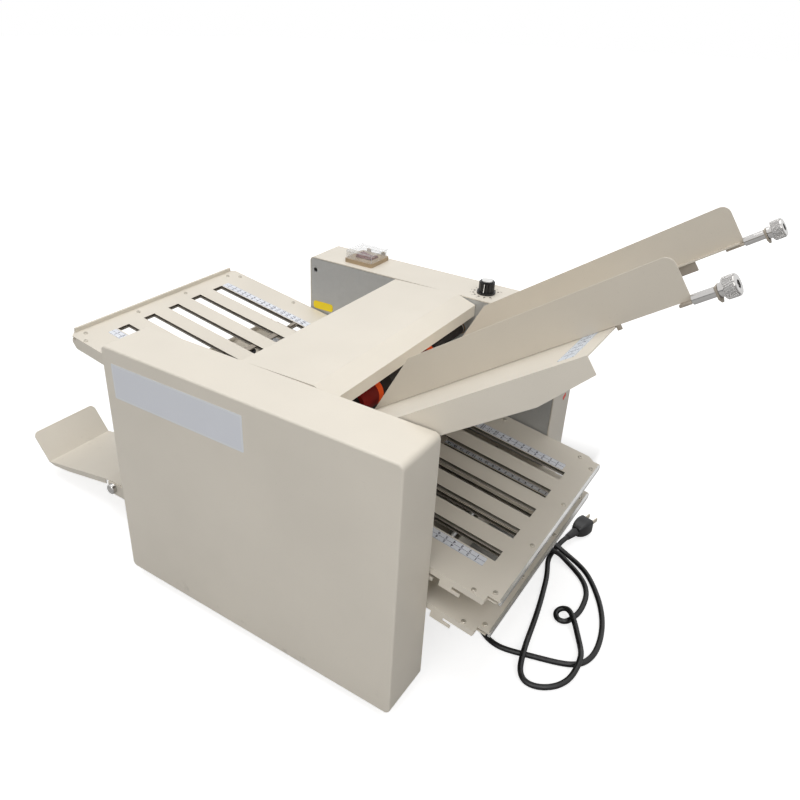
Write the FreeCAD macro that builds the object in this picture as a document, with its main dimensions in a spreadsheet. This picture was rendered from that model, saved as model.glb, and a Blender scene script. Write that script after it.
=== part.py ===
import FreeCAD, Part
import math
import os
import re

import Sketcher

# Desk-top paper folding machine.
#
# Row frame: origin on the table surface, under the middle of the machine. +Z up, +X towards the feed
# table, +Y towards the housing with the switch and the dial. All sizes are millimetres and degrees.
# Machine coordinates, used for most places below, measure x from the left end of the housings, y from the
# centre plane between them and z from their lower edge.

V = FreeCAD.Vector
X_AXIS = V(1, 0, 0)
Y_AXIS = V(0, 1, 0)
Z_AXIS = V(0, 0, 1)

SIZES = {
    # frame
    "origin_shift": 161,
    # housings
    "housing_length": 411,
    "housing_height": 330,
    "housing_depth": 68,
    "inner_gap": 326.3,
    "cover_wall": 1.5,
    "cover_corner": 7,
    "cover_edge": 2.5,
    "side_plate_wall": 3,
    "side_plate_margin": 0.5,
    "foot_height": 14,
    "foot_radius": 13,
    "foot_inset": 45,
    # base and cross bars
    "base_wall": 2,
    "base_level": 3,
    "base_left": 12,
    "base_right_inset": 55,
    "base_left_flange": 38,
    "base_right_flange": 40,
    "bar_radius": 5,
    "bar_head_radius": 8,
    "bar_head_height": 4,
    "bar_left_x": 30,
    "bar_left_z": 118,
    "bar_right_inset": 60,
    "bar_right_z": 58,
    "bar_top_x": 185,
    "bar_top_z": 300,
    "lift_hole_inset": 10,
    "lift_hole_drop": 20,
    "lift_hole_radius": 3.5,
    # fold plates
    "plate_slope": 8.8,
    "plate_width": 322,
    "sheet_wall": 1.5,
    "paper_gap": 3,
    "rim_width": 12,
    "flange_depth": 11.2,
    "flange_short": 2.2,
    "hook_height": 4.6,
    "slot_width": 20,
    "slot_length": 170,
    "slot_pitch": 46.8,
    "slot_start": 30,
    "slot_count": 5,
    "notch_length": 14,
    "notch_width": 9,
    "plate_1_overhang": 163,
    "plate_1_mouth_x": -20.03,
    "plate_1_mouth_z": 2.22,
    "plate_1_hook_inset": 18.8,
    "plate_2_overhang": 78.5,
    "plate_2_mouth_x": 18.28,
    "plate_2_mouth_z": -25.8,
    "plate_2_hook_inset": -5.4,
    "plate_2_slot_inset": 36,
    "plate_3_overhang": 75,
    "plate_3_mouth_x": -42.23,
    "plate_3_mouth_z": -48.92,
    "plate_3_hook_inset": 19.9,
    "plate_4_overhang": 71.5,
    "plate_4_mouth_x": -1.57,
    "plate_4_mouth_z": -72.91,
    "plate_4_hook_inset": 1.6,
    "plate_4_slot_inset": 49,
    "lip_height": 6,
    "lip_inset": 8.5,
    "lip_corner": 7,
    "end_bar_width": 3,
    "end_bar_rise": 0.8,
    "hook_slot": 11,
    "hook_entry": 8,
    "spare_hook": 40.6,
    "spare_hook_slot": 10.4,
    "rest_reach": 36,
    "hook_pin_radius": 2,
    "hook_play": 0.3,
    # paper stops
    "stop_length": 292,
    "stop_width": 8,
    "stop_play": 0.3,
    "stop_reach": 17,
    "stud_radius": 3,
    "stud_length": 16,
    "nut_radius": 9,
    "nut_height": 8,
    # rollers and gears
    "nip_x": 238,
    "nip_z": 211,
    "roller_pitch": 30,
    "nip_clearance": 0.4,
    "fold_angle": 60,
    "journal_radius": 5,
    "journal_play": 0.05,
    "bearing_radius": 9,
    "bearing_flange": 11,
    "bearing_flange_wall": 1.5,
    "sleeve_end_gap": 4,
    "collar_radius": 8,
    "gear_teeth": 20,
    "idler_teeth": 22,
    "gear_width": 10,
    "gear_gap": 4,
    "gear_backlash": 0.5,
    "feed_x": 262,
    "feed_z": 282,
    "feed_radius": 18,
    "tyre_wall": 5,
    "tyre_length": 60,
    "tyre_gap": 48,
    "tyre_shift": -15,
    "idler_stud_radius": 4,
    # drive
    "motor_x": 95,
    "motor_z": 41,
    "motor_radius": 30,
    "motor_length": 115,
    "motor_gap": 4,
    "motor_foot_width": 48,
    "motor_foot_inset": 8,
    "motor_pulley_radius": 10,
    "driven_pulley_radius": 20,
    "belt_width": 8,
    "belt_wall": 2,
    "belt_gap": 8,
    # feed table
    "table_x": 285,
    "table_z": 276,
    "table_slope": 34.92,
    "table_length": 302.4,
    "table_width": 322,
    "skirt_depth": 30,
    "skirt_end_depth": 18,
    "skirt_kink": 240,
    "table_bar_first": 20,
    "table_bar_inset": 41.4,
    "table_bar_drop": 16,
    # side guides
    "guide_spread": 90,
    "guide_start": 4,
    "guide_end": 371,
    "guide_height": 41,
    "guide_slant": 77,
    "guide_corner": 9,
    "guide_lift": 0.4,
    "guide_flange": 8,
    "guide_foot_start": 30,
    "guide_foot_inset": 3,
    "rod_radius": 4.5,
    "rod_end": 397,
    "rod_play": 0.05,
    "knob_radius": 9.5,
    "knob_length": 11,
    "tab_place": 391,
    "tab_half": 6,
    "tab_top": 5,
    "tab_foot": 10,
    "tab_wall": 2,
    "far_guide_reach": 7,
    "saddle_start": 352,
    "saddle_end": 379,
    "saddle_half": 5.6,
    "saddle_depth": 6.5,
    "lug_length": 20,
    "lug_depth": 13,
    "lug_wall": 2,
    "jaw_gap": 0.6,
    # top cover
    "cover_left": 155,
    "cover_crease": 256,
    "cover_lip": 283,
    "cover_level": 331,
    "cover_lip_top": 322,
    "cover_lip_bottom": 306,
    "cover_width": 324,
    "cover_flange": 22,
    "hinge_x": 160,
    "hinge_z": 313,
    "hinge_radius": 3,
    # output tray
    "tray_tip_x": -304.8,
    "tray_tip_z": 58.7,
    "tray_bend_x": -273.5,
    "tray_bend_z": 17.5,
    "tray_knee_x": -131,
    "tray_knee_z": 44.9,
    "tray_end_x": -96,
    "tray_near_y": -161,
    "tray_width": 115,
    "tray_rim": 9,
    "arm_x": -127,
    "arm_z": 43.4,
    "arm_slope": 2.6,
    "arm_depth": 19,
    "arm_margin": 1.8,
    "tray_screw_x": -115,
    "tray_screw_z": 37,
    "tray_screw_radius": 7.5,
    "tray_screw_length": 7,
    "chute_right": 176,
    "chute_right_z": 84,
    "chute_left_z": 64,
    # controls
    "dial_x": 283.4,
    "dial_y": 192.2,
    "dial_radius": 11.3,
    "dial_height": 18,
    "dial_shaft_radius": 3,
    "switch_x": 56,
    "switch_y": 174.9,
    "switch_length": 49,
    "switch_width": 48,
    "switch_base": 6,
    "guard_height": 12,
    "guard_wall": 1.5,
    "guard_pin_radius": 1.8,
    "guard_pin_back": 1,
    "guard_pin_rise": 2.3,
    "guard_barrel_length": 20,
    "rocker_length": 28,
    "rocker_width": 20,
    "rocker_pin_radius": 1.4,
    "rocker_pin_rise": 3,
    "board_x": 40,
    "board_z": 180,
    "board_length": 120,
    "board_height": 90,
    "board_wall": 1.6,
    "board_standoff": 10,
    "board_corner": 8,
    "heat_sink_height": 14,
    # cord
    "cord_diameter": 7,
    "gland_y": 144,
    "gland_z": 14,
    "plug_length": 28,
    "plug_width": 22,
    "plug_height": 23,
}

DOC = FreeCAD.newDocument("PaperFoldingMachine")
SHEET = DOC.addObject("Spreadsheet::Sheet", "Sizes")
for row, (alias, number) in enumerate(SIZES.items(), start=1):
    SHEET.set(f"A{row}", alias)
    SHEET.set(f"B{row}", str(number))
    SHEET.setAlias(f"B{row}", alias)
DOC.recompute()

NODES = {}
ALIAS = re.compile(r"[a-z][a-z0-9]*(?:_[a-z0-9]+)+")
# The sketch normal of each origin plane, along its world axis.
NORMAL = {"XY_Plane": 1, "XZ_Plane": -1, "YZ_Plane": 1}


# ---------------------------------------------------------------- small tools


def bound(text):
    """An expression with each alias in it read from the sheet."""
    return ALIAS.sub(lambda word: "Sizes." + word.group(0), str(text))


def size(text):
    """The number that an expression of aliases gives."""
    return float(SHEET.evalExpression(bound(text).replace("Sizes.", "")))


def keep(name, thing):
    """Labels a finished sub-part and lists it for export."""
    thing.Label = name
    NODES[name] = thing
    return thing


def new_body(name):
    return DOC.addObject("PartDesign::Body", name + "_body")


def origin_plane(body, role):
    for feature in body.Origin.OriginFeatures:
        if feature.Role == role:
            return feature
    raise ValueError(role)


def sketch_on(body, role, level):
    """An empty sketch parallel to an origin plane, at a level along the plane's world axis."""
    sketch = body.newObject("Sketcher::SketchObject", body.Name + "_sketch")
    sketch.AttachmentSupport = [(origin_plane(body, role), "")]
    sketch.MapMode = "FlatFace"
    sketch.setExpression("AttachmentOffset.Base.z", f"{NORMAL[role]} * ({bound(level)})")
    return sketch


def polygon(sketch, corners):
    """A closed outline whose corners are each bound to two expressions."""
    places = [(size(a), size(b)) for a, b in corners]
    first = sketch.GeometryCount
    count = len(corners)
    sketch.addGeometry(
        [Part.LineSegment(V(*places[i], 0), V(*places[(i + 1) % count], 0)) for i in range(count)], False
    )
    rules = [Sketcher.Constraint("Coincident", first + i, 2, first + (i + 1) % count, 1) for i in range(count)]
    for i, place_ in enumerate(places):
        rules.append(Sketcher.Constraint("DistanceX", -1, 1, first + i, 1, place_[0]))
        rules.append(Sketcher.Constraint("DistanceY", -1, 1, first + i, 1, place_[1]))
    index = sketch.addConstraint(rules)[count:]
    for i, corner in enumerate(corners):
        sketch.setExpression(f"Constraints[{index[2 * i]}]", bound(corner[0]))
        sketch.setExpression(f"Constraints[{index[2 * i + 1]}]", bound(corner[1]))


def rectangle(sketch, left, low, right, high):
    polygon(sketch, [(left, low), (right, low), (right, high), (left, high)])


def circle(sketch, across, up, radius):
    geometry = sketch.addGeometry(Part.Circle(V(size(across), size(up), 0), Z_AXIS, size(radius)), False)
    index = sketch.addConstraint(
        [
            Sketcher.Constraint("DistanceX", -1, 1, geometry, 3, size(across)),
            Sketcher.Constraint("DistanceY", -1, 1, geometry, 3, size(up)),
            Sketcher.Constraint("Radius", geometry, size(radius)),
        ]
    )
    for i, text in zip(index, (across, up, radius)):
        sketch.setExpression(f"Constraints[{i}]", bound(text))


def pad(body, role, low, high, *outlines):
    """Adds material between two levels. Each outline is a function that draws in the sketch."""
    sketch = sketch_on(body, role, low)
    for draw in outlines:
        draw(sketch)
    feature = body.newObject("PartDesign::Pad", body.Name + "_pad")
    feature.Profile = sketch
    feature.setExpression("Length", f"({bound(high)}) - ({bound(low)})")
    feature.Reversed = NORMAL[role] < 0
    DOC.recompute()
    return feature


def pocket(body, role, low, high, *outlines):
    """Removes material between two levels and stops if nothing was there to remove."""
    before = body.Shape.Volume
    sketch = sketch_on(body, role, low)
    for draw in outlines:
        draw(sketch)
    feature = body.newObject("PartDesign::Pocket", body.Name + "_pocket")
    feature.Profile = sketch
    feature.setExpression("Length", f"({bound(high)}) - ({bound(low)})")
    feature.Reversed = NORMAL[role] > 0
    DOC.recompute()
    if body.Shape.Volume >= before - 1e-6:
        raise ValueError(f"{body.Name}: the pocket removed nothing")
    return feature


def box(*sides):
    return lambda sketch: rectangle(sketch, *sides)


def disc(*place_):
    return lambda sketch: circle(sketch, *place_)


def outline(corners):
    return lambda sketch: polygon(sketch, corners)


def row_of(body, feature, count, pitch, axis):
    """Repeats a feature along a world axis of the body."""
    pattern = body.newObject("PartDesign::LinearPattern", body.Name + "_row")
    pattern.Originals = [feature]
    pattern.Direction = (origin_plane(body, axis), [""])
    pattern.setExpression("Occurrences", bound(count))
    pattern.setExpression("Length", f"({bound(pitch)}) * ({bound(count)} - 1)")
    body.Tip = pattern
    DOC.recompute()
    return pattern


def round_edges(body, radius, wanted):
    """Fillets the edges that a test picks by their place."""
    base = body.Tip
    names = [f"Edge{i}" for i, edge in enumerate(base.Shape.Edges, start=1) if wanted(edge)]
    if not names:
        raise ValueError(f"{body.Name}: no edge to round")
    feature = body.newObject("PartDesign::Fillet", body.Name + "_fillet")
    feature.Base = (base, names)
    feature.setExpression("Radius", bound(radius))
    DOC.recompute()
    return feature


def along(edge, axis):
    """True if the edge is straight and runs along the axis."""
    if not isinstance(edge.Curve, Part.Line):
        return False
    return abs(abs(edge.tangentAt(edge.FirstParameter).dot(axis)) - 1) < 1e-6


def middle(edge):
    return edge.BoundBox.Center


def turned(name, steps):
    """A turned piece about local Z. Each step is its radius and the level where it ends."""
    body = new_body(name)
    sketch = sketch_on(body, "XZ_Plane", "0")
    corners = [("0", steps[0][1])]
    for i in range(1, len(steps)):
        radius, end = steps[i]
        corners += [(radius, steps[i - 1][1]), (radius, end)]
    corners.append(("0", steps[-1][1]))
    polygon(sketch, corners)
    feature = body.newObject("PartDesign::Revolution", body.Name + "_turn")
    feature.Profile = sketch
    feature.ReferenceAxis = (sketch, ["V_Axis"])
    feature.Angle = 360
    DOC.recompute()
    return body


def place(thing, across="0", deep="0", up="0", axis=Z_AXIS, angle=None):
    """Puts a piece at a place given in machine coordinates, turned about one axis."""
    turn = FreeCAD.Rotation(axis, size(angle)) if angle is not None else FreeCAD.Rotation()
    thing.Placement = FreeCAD.Placement(V(0, 0, 0), turn)
    thing.setExpression("Placement.Base.x", f"({bound(across)}) - Sizes.origin_shift")
    thing.setExpression("Placement.Base.y", bound(deep))
    thing.setExpression("Placement.Base.z", f"({bound(up)}) + Sizes.foot_height")
    if angle is not None:
        thing.setExpression("Placement.Rotation.Angle", bound(angle))
    DOC.recompute()
    return thing


def row_point(across, deep, up):
    """Machine coordinates as a point of the row frame."""
    return V(across - size("origin_shift"), deep, up + size("foot_height"))


def fixed(name, shape):
    """A sub-part whose shape is set from Part's own functions, already in the row frame."""
    thing = DOC.addObject("Part::Feature", name + "_shape")
    thing.Shape = shape
    return keep(name, thing)


def rod(start, end, radius):
    return Part.makeCylinder(radius, (end - start).Length, start, end - start)


def tube(start, end, radius, bore):
    return rod(start, end, radius).cut(rod(start, end, bore))


# ---------------------------------------------------------------- housings

HALF_GAP = "inner_gap / 2"
OUTER_Y = "inner_gap / 2 + housing_depth"
PLATE_Y = "inner_gap / 2 + side_plate_wall"


def housing_cover(name, side, far):
    """Folded sheet cover, open towards the machine, with large end radii and a small front radius."""
    body = new_body(name)
    low, high = (HALF_GAP, OUTER_Y) if far else (f"-({OUTER_Y})", f"-({HALF_GAP})")
    pad(body, "XZ_Plane", low, high, box("0", "0", "housing_length", "housing_height"))
    round_edges(body, "cover_corner", lambda edge: along(edge, Y_AXIS))
    front = side * size(OUTER_Y)
    round_edges(body, "cover_edge", lambda edge: abs(middle(edge).y - front) < 1e-6)
    inner = side * size(HALF_GAP)
    faces = body.Tip.Shape.Faces
    open_face = [f"Face{i}" for i, face in enumerate(faces, start=1) if abs(face.BoundBox.Center.y - inner) < 1e-6]
    shell = body.newObject("PartDesign::Thickness", name + "_shell")
    shell.Base = (body.Tip.getPropertyByName("BaseFeature") and body.Group[-2], open_face)
    shell.Reversed = True
    shell.setExpression("Value", bound("cover_wall"))
    DOC.recompute()
    if far:
        pocket(
            body,
            "XY_Plane",
            "housing_height - 3 * cover_wall",
            "housing_height + 1",
            disc("dial_x", "dial_y", "dial_shaft_radius + 1"),
            box(
                "switch_x + switch_length / 2 - rocker_length / 2 - 3",
                "switch_y + switch_width / 2 - rocker_width / 2 - 3",
                "switch_x + switch_length / 2 + rocker_length / 2 + 3",
                "switch_y + switch_width / 2 + rocker_width / 2 + 3",
            ),
        )
    place(body)
    return keep(name, body)


def side_plate(name, far, holes):
    """Flat frame plate that closes the cover and carries the bearings."""
    body = new_body(name)
    low, high = (HALF_GAP, PLATE_Y) if far else (f"-({PLATE_Y})", f"-({HALF_GAP})")
    inset = "(cover_wall + side_plate_margin)"
    pad(body, "XZ_Plane", low, high, box(inset, inset, f"housing_length - {inset}", f"housing_height - {inset}"))
    round_edges(body, f"cover_corner - {inset}", lambda edge: along(edge, Y_AXIS))
    pocket(body, "XZ_Plane", low, high, *holes)
    place(body)
    return keep(name, body)


def roller_centres():
    """Centres of the six fold rollers, from the first nip down, in machine coordinates."""
    slope = math.radians(size("plate_slope"))
    fold = math.radians(size("fold_angle"))
    pitch = size("roller_pitch")
    square = (math.sin(slope), math.cos(slope))
    step = (-math.cos(fold) * pitch, -math.sin(fold) * pitch)
    centres = [(size("nip_x") + square[0] * pitch / 2, size("nip_z") + square[1] * pitch / 2)]
    for i in range(5):
        x, z = centres[-1]
        if i % 2 == 0:
            centres.append((x - square[0] * pitch, z - square[1] * pitch))
        else:
            centres.append((x + step[0], z + step[1]))
    return centres


def idler_centre(first):
    """The point that lies one mesh distance from the first roller and from the feed roller."""
    module = size("roller_pitch / gear_teeth")
    reach = module * (size("gear_teeth") + size("idler_teeth")) / 2
    feed = (size("feed_x"), size("feed_z"))
    span = math.dist(first, feed)
    half = span / 2
    side = math.sqrt(reach * reach - half * half)
    unit = ((feed[0] - first[0]) / span, (feed[1] - first[1]) / span)
    return (first[0] + unit[0] * half + unit[1] * side, first[1] + unit[1] * half - unit[0] * side)


ROLLERS = roller_centres()
FEED = (size("feed_x"), size("feed_z"))
IDLER = idler_centre(ROLLERS[0])
BASE_RIGHT = "(housing_length - base_right_inset)"
BARS = (
    ("bar_left_x", "bar_left_z"),
    ("housing_length - bar_right_inset", "bar_right_z"),
    ("bar_top_x", "bar_top_z"),
)


def table_point(along_slope, above):
    """A place on the feed table's own axes, in machine coordinates."""
    slope = math.radians(size("table_slope"))
    return (
        size("table_x") + along_slope * math.cos(slope) - above * math.sin(slope),
        size("table_z") + along_slope * math.sin(slope) + above * math.cos(slope),
    )


TABLE_BAR_END = "(housing_length - table_bar_inset - table_x - table_bar_drop * sin(table_slope))"
TABLE_BAR_U = ("table_bar_first", f"{TABLE_BAR_END} / cos(table_slope)")
TABLE_BARS = [table_point(size(u), -size("table_bar_drop")) for u in TABLE_BAR_U]


def make_side_plates():
    """Both frame plates, bored for the roller bushes, the cover's trunnions and the motor shaft."""
    shafts = [disc(str(x), str(z), "bearing_radius") for x, z in ROLLERS + [FEED]]
    hinge = disc("hinge_x", "hinge_z", "hinge_radius + journal_play")
    lift = disc("lift_hole_inset", "housing_height - lift_hole_drop", "lift_hole_radius")
    motor = disc("motor_x", "motor_z", "journal_radius + 3")
    side_plate("near_side_plate", False, shafts + [hinge, lift, motor])
    side_plate("far_side_plate", True, shafts + [hinge, lift])


def make_base_plate():
    """Tray of folded sheet that ties the side plates together at the bottom."""
    body = new_body("base_plate")
    profile = [
        ("base_left", "base_level"),
        (BASE_RIGHT, "base_level"),
        (BASE_RIGHT, "base_level + base_right_flange"),
        (f"{BASE_RIGHT} - base_wall", "base_level + base_right_flange"),
        (f"{BASE_RIGHT} - base_wall", "base_level + base_wall"),
        ("base_left + base_wall", "base_level + base_wall"),
        ("base_left + base_wall", "base_level + base_left_flange"),
        ("base_left", "base_level + base_left_flange"),
    ]
    pad(body, "XZ_Plane", f"-({HALF_GAP})", HALF_GAP, outline(profile))
    pocket(
        body,
        "YZ_Plane",
        f"{BASE_RIGHT} - 2 * base_wall",
        f"{BASE_RIGHT} + 1",
        disc("gland_y", "gland_z", "cord_diameter / 2 + 2"),
    )
    place(body)
    return keep("base_plate", body)


def make_feet():
    radius = size("foot_radius")
    height = size("foot_height")
    inset = size("foot_inset")
    feet = []
    for x in (inset, size("housing_length") - inset):
        for side in (-1, 1):
            y = side * (size(HALF_GAP) + size("housing_depth") / 2)
            base = V(x - size("origin_shift"), y, 0)
            foot = Part.makeCone(radius - 2, radius, height, base)
            feet.append(foot)
    return fixed("rubber_feet", Part.makeCompound(feet))


def make_cross_bars():
    """Round spacers between the side plates, with a screw head on each outer side."""
    bars = []
    half = size(HALF_GAP)
    places = [(size(x), size(z)) for x, z in BARS] + TABLE_BARS
    for x, z in places:
        bars.append(rod(row_point(x, -half, z), row_point(x, half, z), size("bar_radius")))
        for side in (-1, 1):
            start = row_point(x, side * size(PLATE_Y), z)
            end = start + V(0, side * size("bar_head_height"), 0)
            bars.append(rod(start, end, size("bar_head_radius")))
    return fixed("cross_bars", Part.makeCompound(bars))


# ---------------------------------------------------------------- fold plates


def plate_length(number, outer_left):
    """From the mouth at the rollers to the outer end, which hangs over the housings' end."""
    mouth = f"(nip_x + plate_{number}_mouth_x)"
    outer = f"(-plate_{number}_overhang)" if outer_left else f"(housing_length + plate_{number}_overhang)"
    return f"(({mouth} - {outer}) / cos(plate_slope))" if outer_left else f"(({outer} - {mouth}) / cos(plate_slope))"


def slot_end(number, outer_left):
    """Inner end of the slots, measured from the plate's outer end."""
    if outer_left:
        return "(slot_start + slot_length)"
    return f"({plate_length(number, False)} - plate_{number}_slot_inset)"


def hook_place(number):
    """Distance of a plate's hook from its outer end."""
    return f"((plate_{number}_overhang + plate_{number}_hook_inset) / cos(plate_slope))"


def fold_plate(number, outer_left, lip):
    """One buckle plate: a slotted upper sheet and a lower sheet with rim strips and hook flanges."""
    label = f"fold_plate_{number}"
    length = plate_length(number, outer_left)
    half = "plate_width / 2"

    def from_outer(text):
        return text if outer_left else f"{length} - ({text})"

    def span(a, b):
        return (a, b) if outer_left else (f"{length} - ({b})", f"{length} - ({a})")

    start, end = span("slot_start", slot_end(number, outer_left))
    first_slot = box(start, "-2 * slot_pitch - slot_width / 2", end, "-2 * slot_pitch + slot_width / 2")
    notch_a, notch_b = span("0", "notch_length")

    upper = new_body(label + "_upper")
    pad(upper, "XY_Plane", "-sheet_wall", "0", box("0", f"-({half})", length, half))
    if not lip:
        pocket(
            upper,
            "XY_Plane",
            "-2 * sheet_wall",
            "1",
            box(notch_a, f"-({half})", notch_b, f"-({half}) + notch_width"),
            outline(
                [
                    (from_outer("0"), half),
                    (from_outer("0"), f"{half} - 0.7 * notch_width"),
                    (from_outer("0.7 * notch_length"), f"{half} - 0.7 * notch_width"),
                    (from_outer("1.3 * notch_length"), half),
                ]
            ),
        )
    cut = pocket(upper, "XY_Plane", "-2 * sheet_wall", "1", first_slot)
    row_of(upper, cut, "slot_count", "slot_pitch", "Y_Axis")
    if lip:
        lip_a, lip_b = span("0", "2 * sheet_wall")
        lip_side = f"({half} - lip_inset)"
        pad(upper, "XY_Plane", "-0.5 * sheet_wall", "lip_height", box(lip_a, f"-{lip_side}", lip_b, lip_side))
        pocket(upper, "XY_Plane", "-2 * sheet_wall", "0", *lip_corners(half))

    lower = new_body(label + "_lower")
    top = "-(sheet_wall + paper_gap)"
    bottom = "-(2 * sheet_wall + paper_gap)"
    lower_a, lower_b = span("1" if lip else "end_bar_width + 0.5", length)
    pad(lower, "XY_Plane", bottom, top, box(lower_a, f"-({half})", lower_b, half))
    cut = pocket(lower, "XY_Plane", f"{bottom} - 1", f"{top} + 1", first_slot)
    row_of(lower, cut, "slot_count", "slot_pitch", "Y_Axis")
    rim_a, rim_b = span("notch_length + 0.5", "notch_length + 0.5 + rim_width")
    notch_end = span("notch_length + 0.5", length)
    for side in ("-", ""):
        edge = f"{side}({half})"
        inner = f"{side}({half} - rim_width)"
        rim_low, rim_high = (edge, inner) if side else (inner, edge)
        pad(lower, "XY_Plane", f"{top} - 0.1", "-sheet_wall", box(notch_end[0], rim_low, notch_end[1], rim_high))
    pad(lower, "XY_Plane", f"{top} - 0.1", "-sheet_wall", box(rim_a, f"-({half}) + 1", rim_b, f"({half}) - 1"))
    if lip:
        pocket(lower, "XY_Plane", f"{bottom} - 1", "0", *lip_corners(half))
    else:
        pocket(
            lower,
            "XY_Plane",
            f"{bottom} - 1",
            "0",
            box(notch_a, f"-({half})", notch_b, f"-({half}) + notch_width"),
            box(notch_a, f"({half}) - notch_width", notch_b, half),
        )
    corners = [(from_outer(run), level) for run, level in flange_outline(number, outer_left, top, bottom)]
    pad(lower, "XZ_Plane", f"-({half})", f"-({half}) + sheet_wall", outline(corners))
    pad(lower, "XZ_Plane", f"({half}) - sheet_wall", half, outline(corners))
    for body, name in ((upper, label + "_upper"), (lower, label + "_lower")):
        put_plate(body, number, outer_left)
        keep(name, body)
    if not lip:
        bar = new_body(label + "_end_bar")
        bar_a, bar_b = span("-end_bar_width / 2", "end_bar_width / 2")
        bar_side = f"({half} - notch_width - 1)"
        pad(bar, "XY_Plane", bottom, "end_bar_rise", box(bar_a, f"-{bar_side}", bar_b, bar_side))
        slot_a, slot_b = span("0", "end_bar_width")
        pocket(bar, "XY_Plane", "-sheet_wall", "0", box(slot_a, f"-({half})", slot_b, half))
        put_plate(bar, number, outer_left)
        keep(label + "_end_bar", bar)


def lip_corners(half):
    """The two triangles cut off the outer corners of a plate that ends in a lip."""
    return [
        outline([("0", f"{side}({half})"), ("0", f"{side}({half} - lip_inset)"), ("lip_corner", f"{side}({half})")])
        for side in ("-", "")
    ]


def flange_outline(number, outer_left, top, bottom):
    """Side flange with its hook slots, as distances from the outer end and levels."""
    hook = hook_place(number)
    start = "lip_corner" if outer_left else "notch_length + 1"
    deep = f"{bottom} - flange_depth"
    short = f"{bottom} - flange_short"
    slot = f"{short} - hook_height"
    length = plate_length(number, outer_left)
    if outer_left:
        return [
            (start, top),
            (start, f"{deep} + 8"),
            (f"{start} + 8", deep),
            (hook, deep),
            (hook, slot),
            (f"{hook} - hook_slot", slot),
            (f"{hook} - hook_slot", short),
            (length, short),
            (length, top),
        ]
    return [
        (start, top),
        (start, short),
        ("spare_hook + spare_hook_slot", short),
        ("spare_hook + spare_hook_slot", slot),
        ("spare_hook", slot),
        ("spare_hook", deep),
        (f"{hook} - hook_entry", deep),
        (f"{hook} - hook_entry", short),
        (f"{hook} + hook_slot", short),
        (f"{hook} + hook_slot", slot),
        (hook, slot),
        (hook, deep),
        (f"{length} - 20", deep),
        (length, f"{deep} + 8"),
        (length, top),
    ]


def put_plate(thing, number, outer_left, along_plate="0"):
    """Places a piece on a fold plate's own axes, which run from the plate's left end down the slope."""
    run = f"({along_plate} - {plate_length(number, True)})" if outer_left else f"({along_plate})"
    place(
        thing,
        f"nip_x + plate_{number}_mouth_x + {run} * cos(plate_slope)",
        "0",
        f"nip_z + plate_{number}_mouth_z - {run} * sin(plate_slope)",
        Y_AXIS,
        "plate_slope",
    )


def plate_point(number, outer_left, from_outer, deep, above):
    """A place on a fold plate, measured from its outer end, as a point of the row frame."""
    slope = math.radians(size("plate_slope"))
    from_mouth = size(plate_length(number, outer_left)) - from_outer
    run = -from_mouth if outer_left else from_mouth
    x = size(f"nip_x + plate_{number}_mouth_x") + run * math.cos(slope) + above * math.sin(slope)
    z = size(f"nip_z + plate_{number}_mouth_z") - run * math.sin(slope) + above * math.cos(slope)
    return row_point(x, deep, z)


def paper_stop(number, outer_left):
    """Stop bar that slides between the two sheets, with a stud through the middle slot."""
    label = f"fold_plate_{number}_stop"
    from_outer = f"({slot_end(number, outer_left)} - stop_reach)"
    here = from_outer if outer_left else f"{plate_length(number, False)} - {from_outer}"
    level = "-(sheet_wall + paper_gap) + stop_play"
    body = new_body(label)
    pad(
        body,
        "XY_Plane",
        level,
        "-sheet_wall - stop_play",
        box("-stop_width / 2", "-stop_length / 2", "stop_width / 2", "stop_length / 2"),
    )
    finger = pad(
        body,
        "XY_Plane",
        "-sheet_wall - 2 * stop_play",
        "1",
        box("-stop_width / 2 + 1.5", "-2 * slot_pitch - 7", "stop_width / 2 - 1.5", "-2 * slot_pitch + 7"),
    )
    row_of(body, finger, 2, "4 * slot_pitch", "Y_Axis")
    pad(body, "XY_Plane", f"{level} - stud_length", f"{level} + 1", disc("0", "0", "stud_radius"))
    put_plate(body, number, outer_left, here)
    keep(label, body)

    nut = new_body(f"fold_plate_{number}_stop_nut")
    top = "-(2 * sheet_wall + paper_gap) - 0.3"
    pad(nut, "XY_Plane", f"{top} - nut_height", top, disc("0", "0", "nut_radius"), disc("0", "0", "stud_radius + 0.05"))
    groove = pocket(nut, "XY_Plane", f"{top} - nut_height - 1", f"{top} - 2", disc("nut_radius + 0.6", "0", "1.4"))
    polar(nut, groove, 12)
    put_plate(nut, number, outer_left, here)
    keep(f"fold_plate_{number}_stop_nut", nut)


def polar(body, feature, count):
    """Repeats a feature around the body's Z axis."""
    pattern = body.newObject("PartDesign::PolarPattern", body.Name + "_ring")
    pattern.Originals = [feature]
    pattern.Axis = (origin_plane(body, "Z_Axis"), [""])
    pattern.Angle = 360
    pattern.setExpression("Occurrences", bound(count))
    body.Tip = pattern
    DOC.recompute()
    return pattern


PLATES = (("1", True, True), ("2", False, False), ("3", True, True), ("4", False, False))


def make_hook_pins():
    """Pins on the side plates: each fold plate hangs on two by its hooks and rests on two more."""
    pins = []
    radius = size("hook_pin_radius")
    play = size("hook_play")
    inner = size("plate_width / 2 - sheet_wall - 1")
    hook_level = -size("2 * sheet_wall + paper_gap + flange_short + hook_height / 2")
    for number, outer_left, _ in PLATES:
        side_of_slot = -1 if outer_left else 1
        hook = size(hook_place(number)) + side_of_slot * (size("hook_slot") - radius - play)
        rest = size(f"{plate_length(number, outer_left)} - rest_reach")
        depth = size("flange_short" if outer_left else "flange_depth")
        rest_level = -(size("2 * sheet_wall + paper_gap") + depth + radius + play)
        for side in (-1, 1):
            for run, level in ((hook, hook_level), (rest, rest_level)):
                start = plate_point(number, outer_left, run, side * inner, level)
                pins.append(rod(start, V(start.x, side * size(HALF_GAP), start.z), radius))
    return pins


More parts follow.
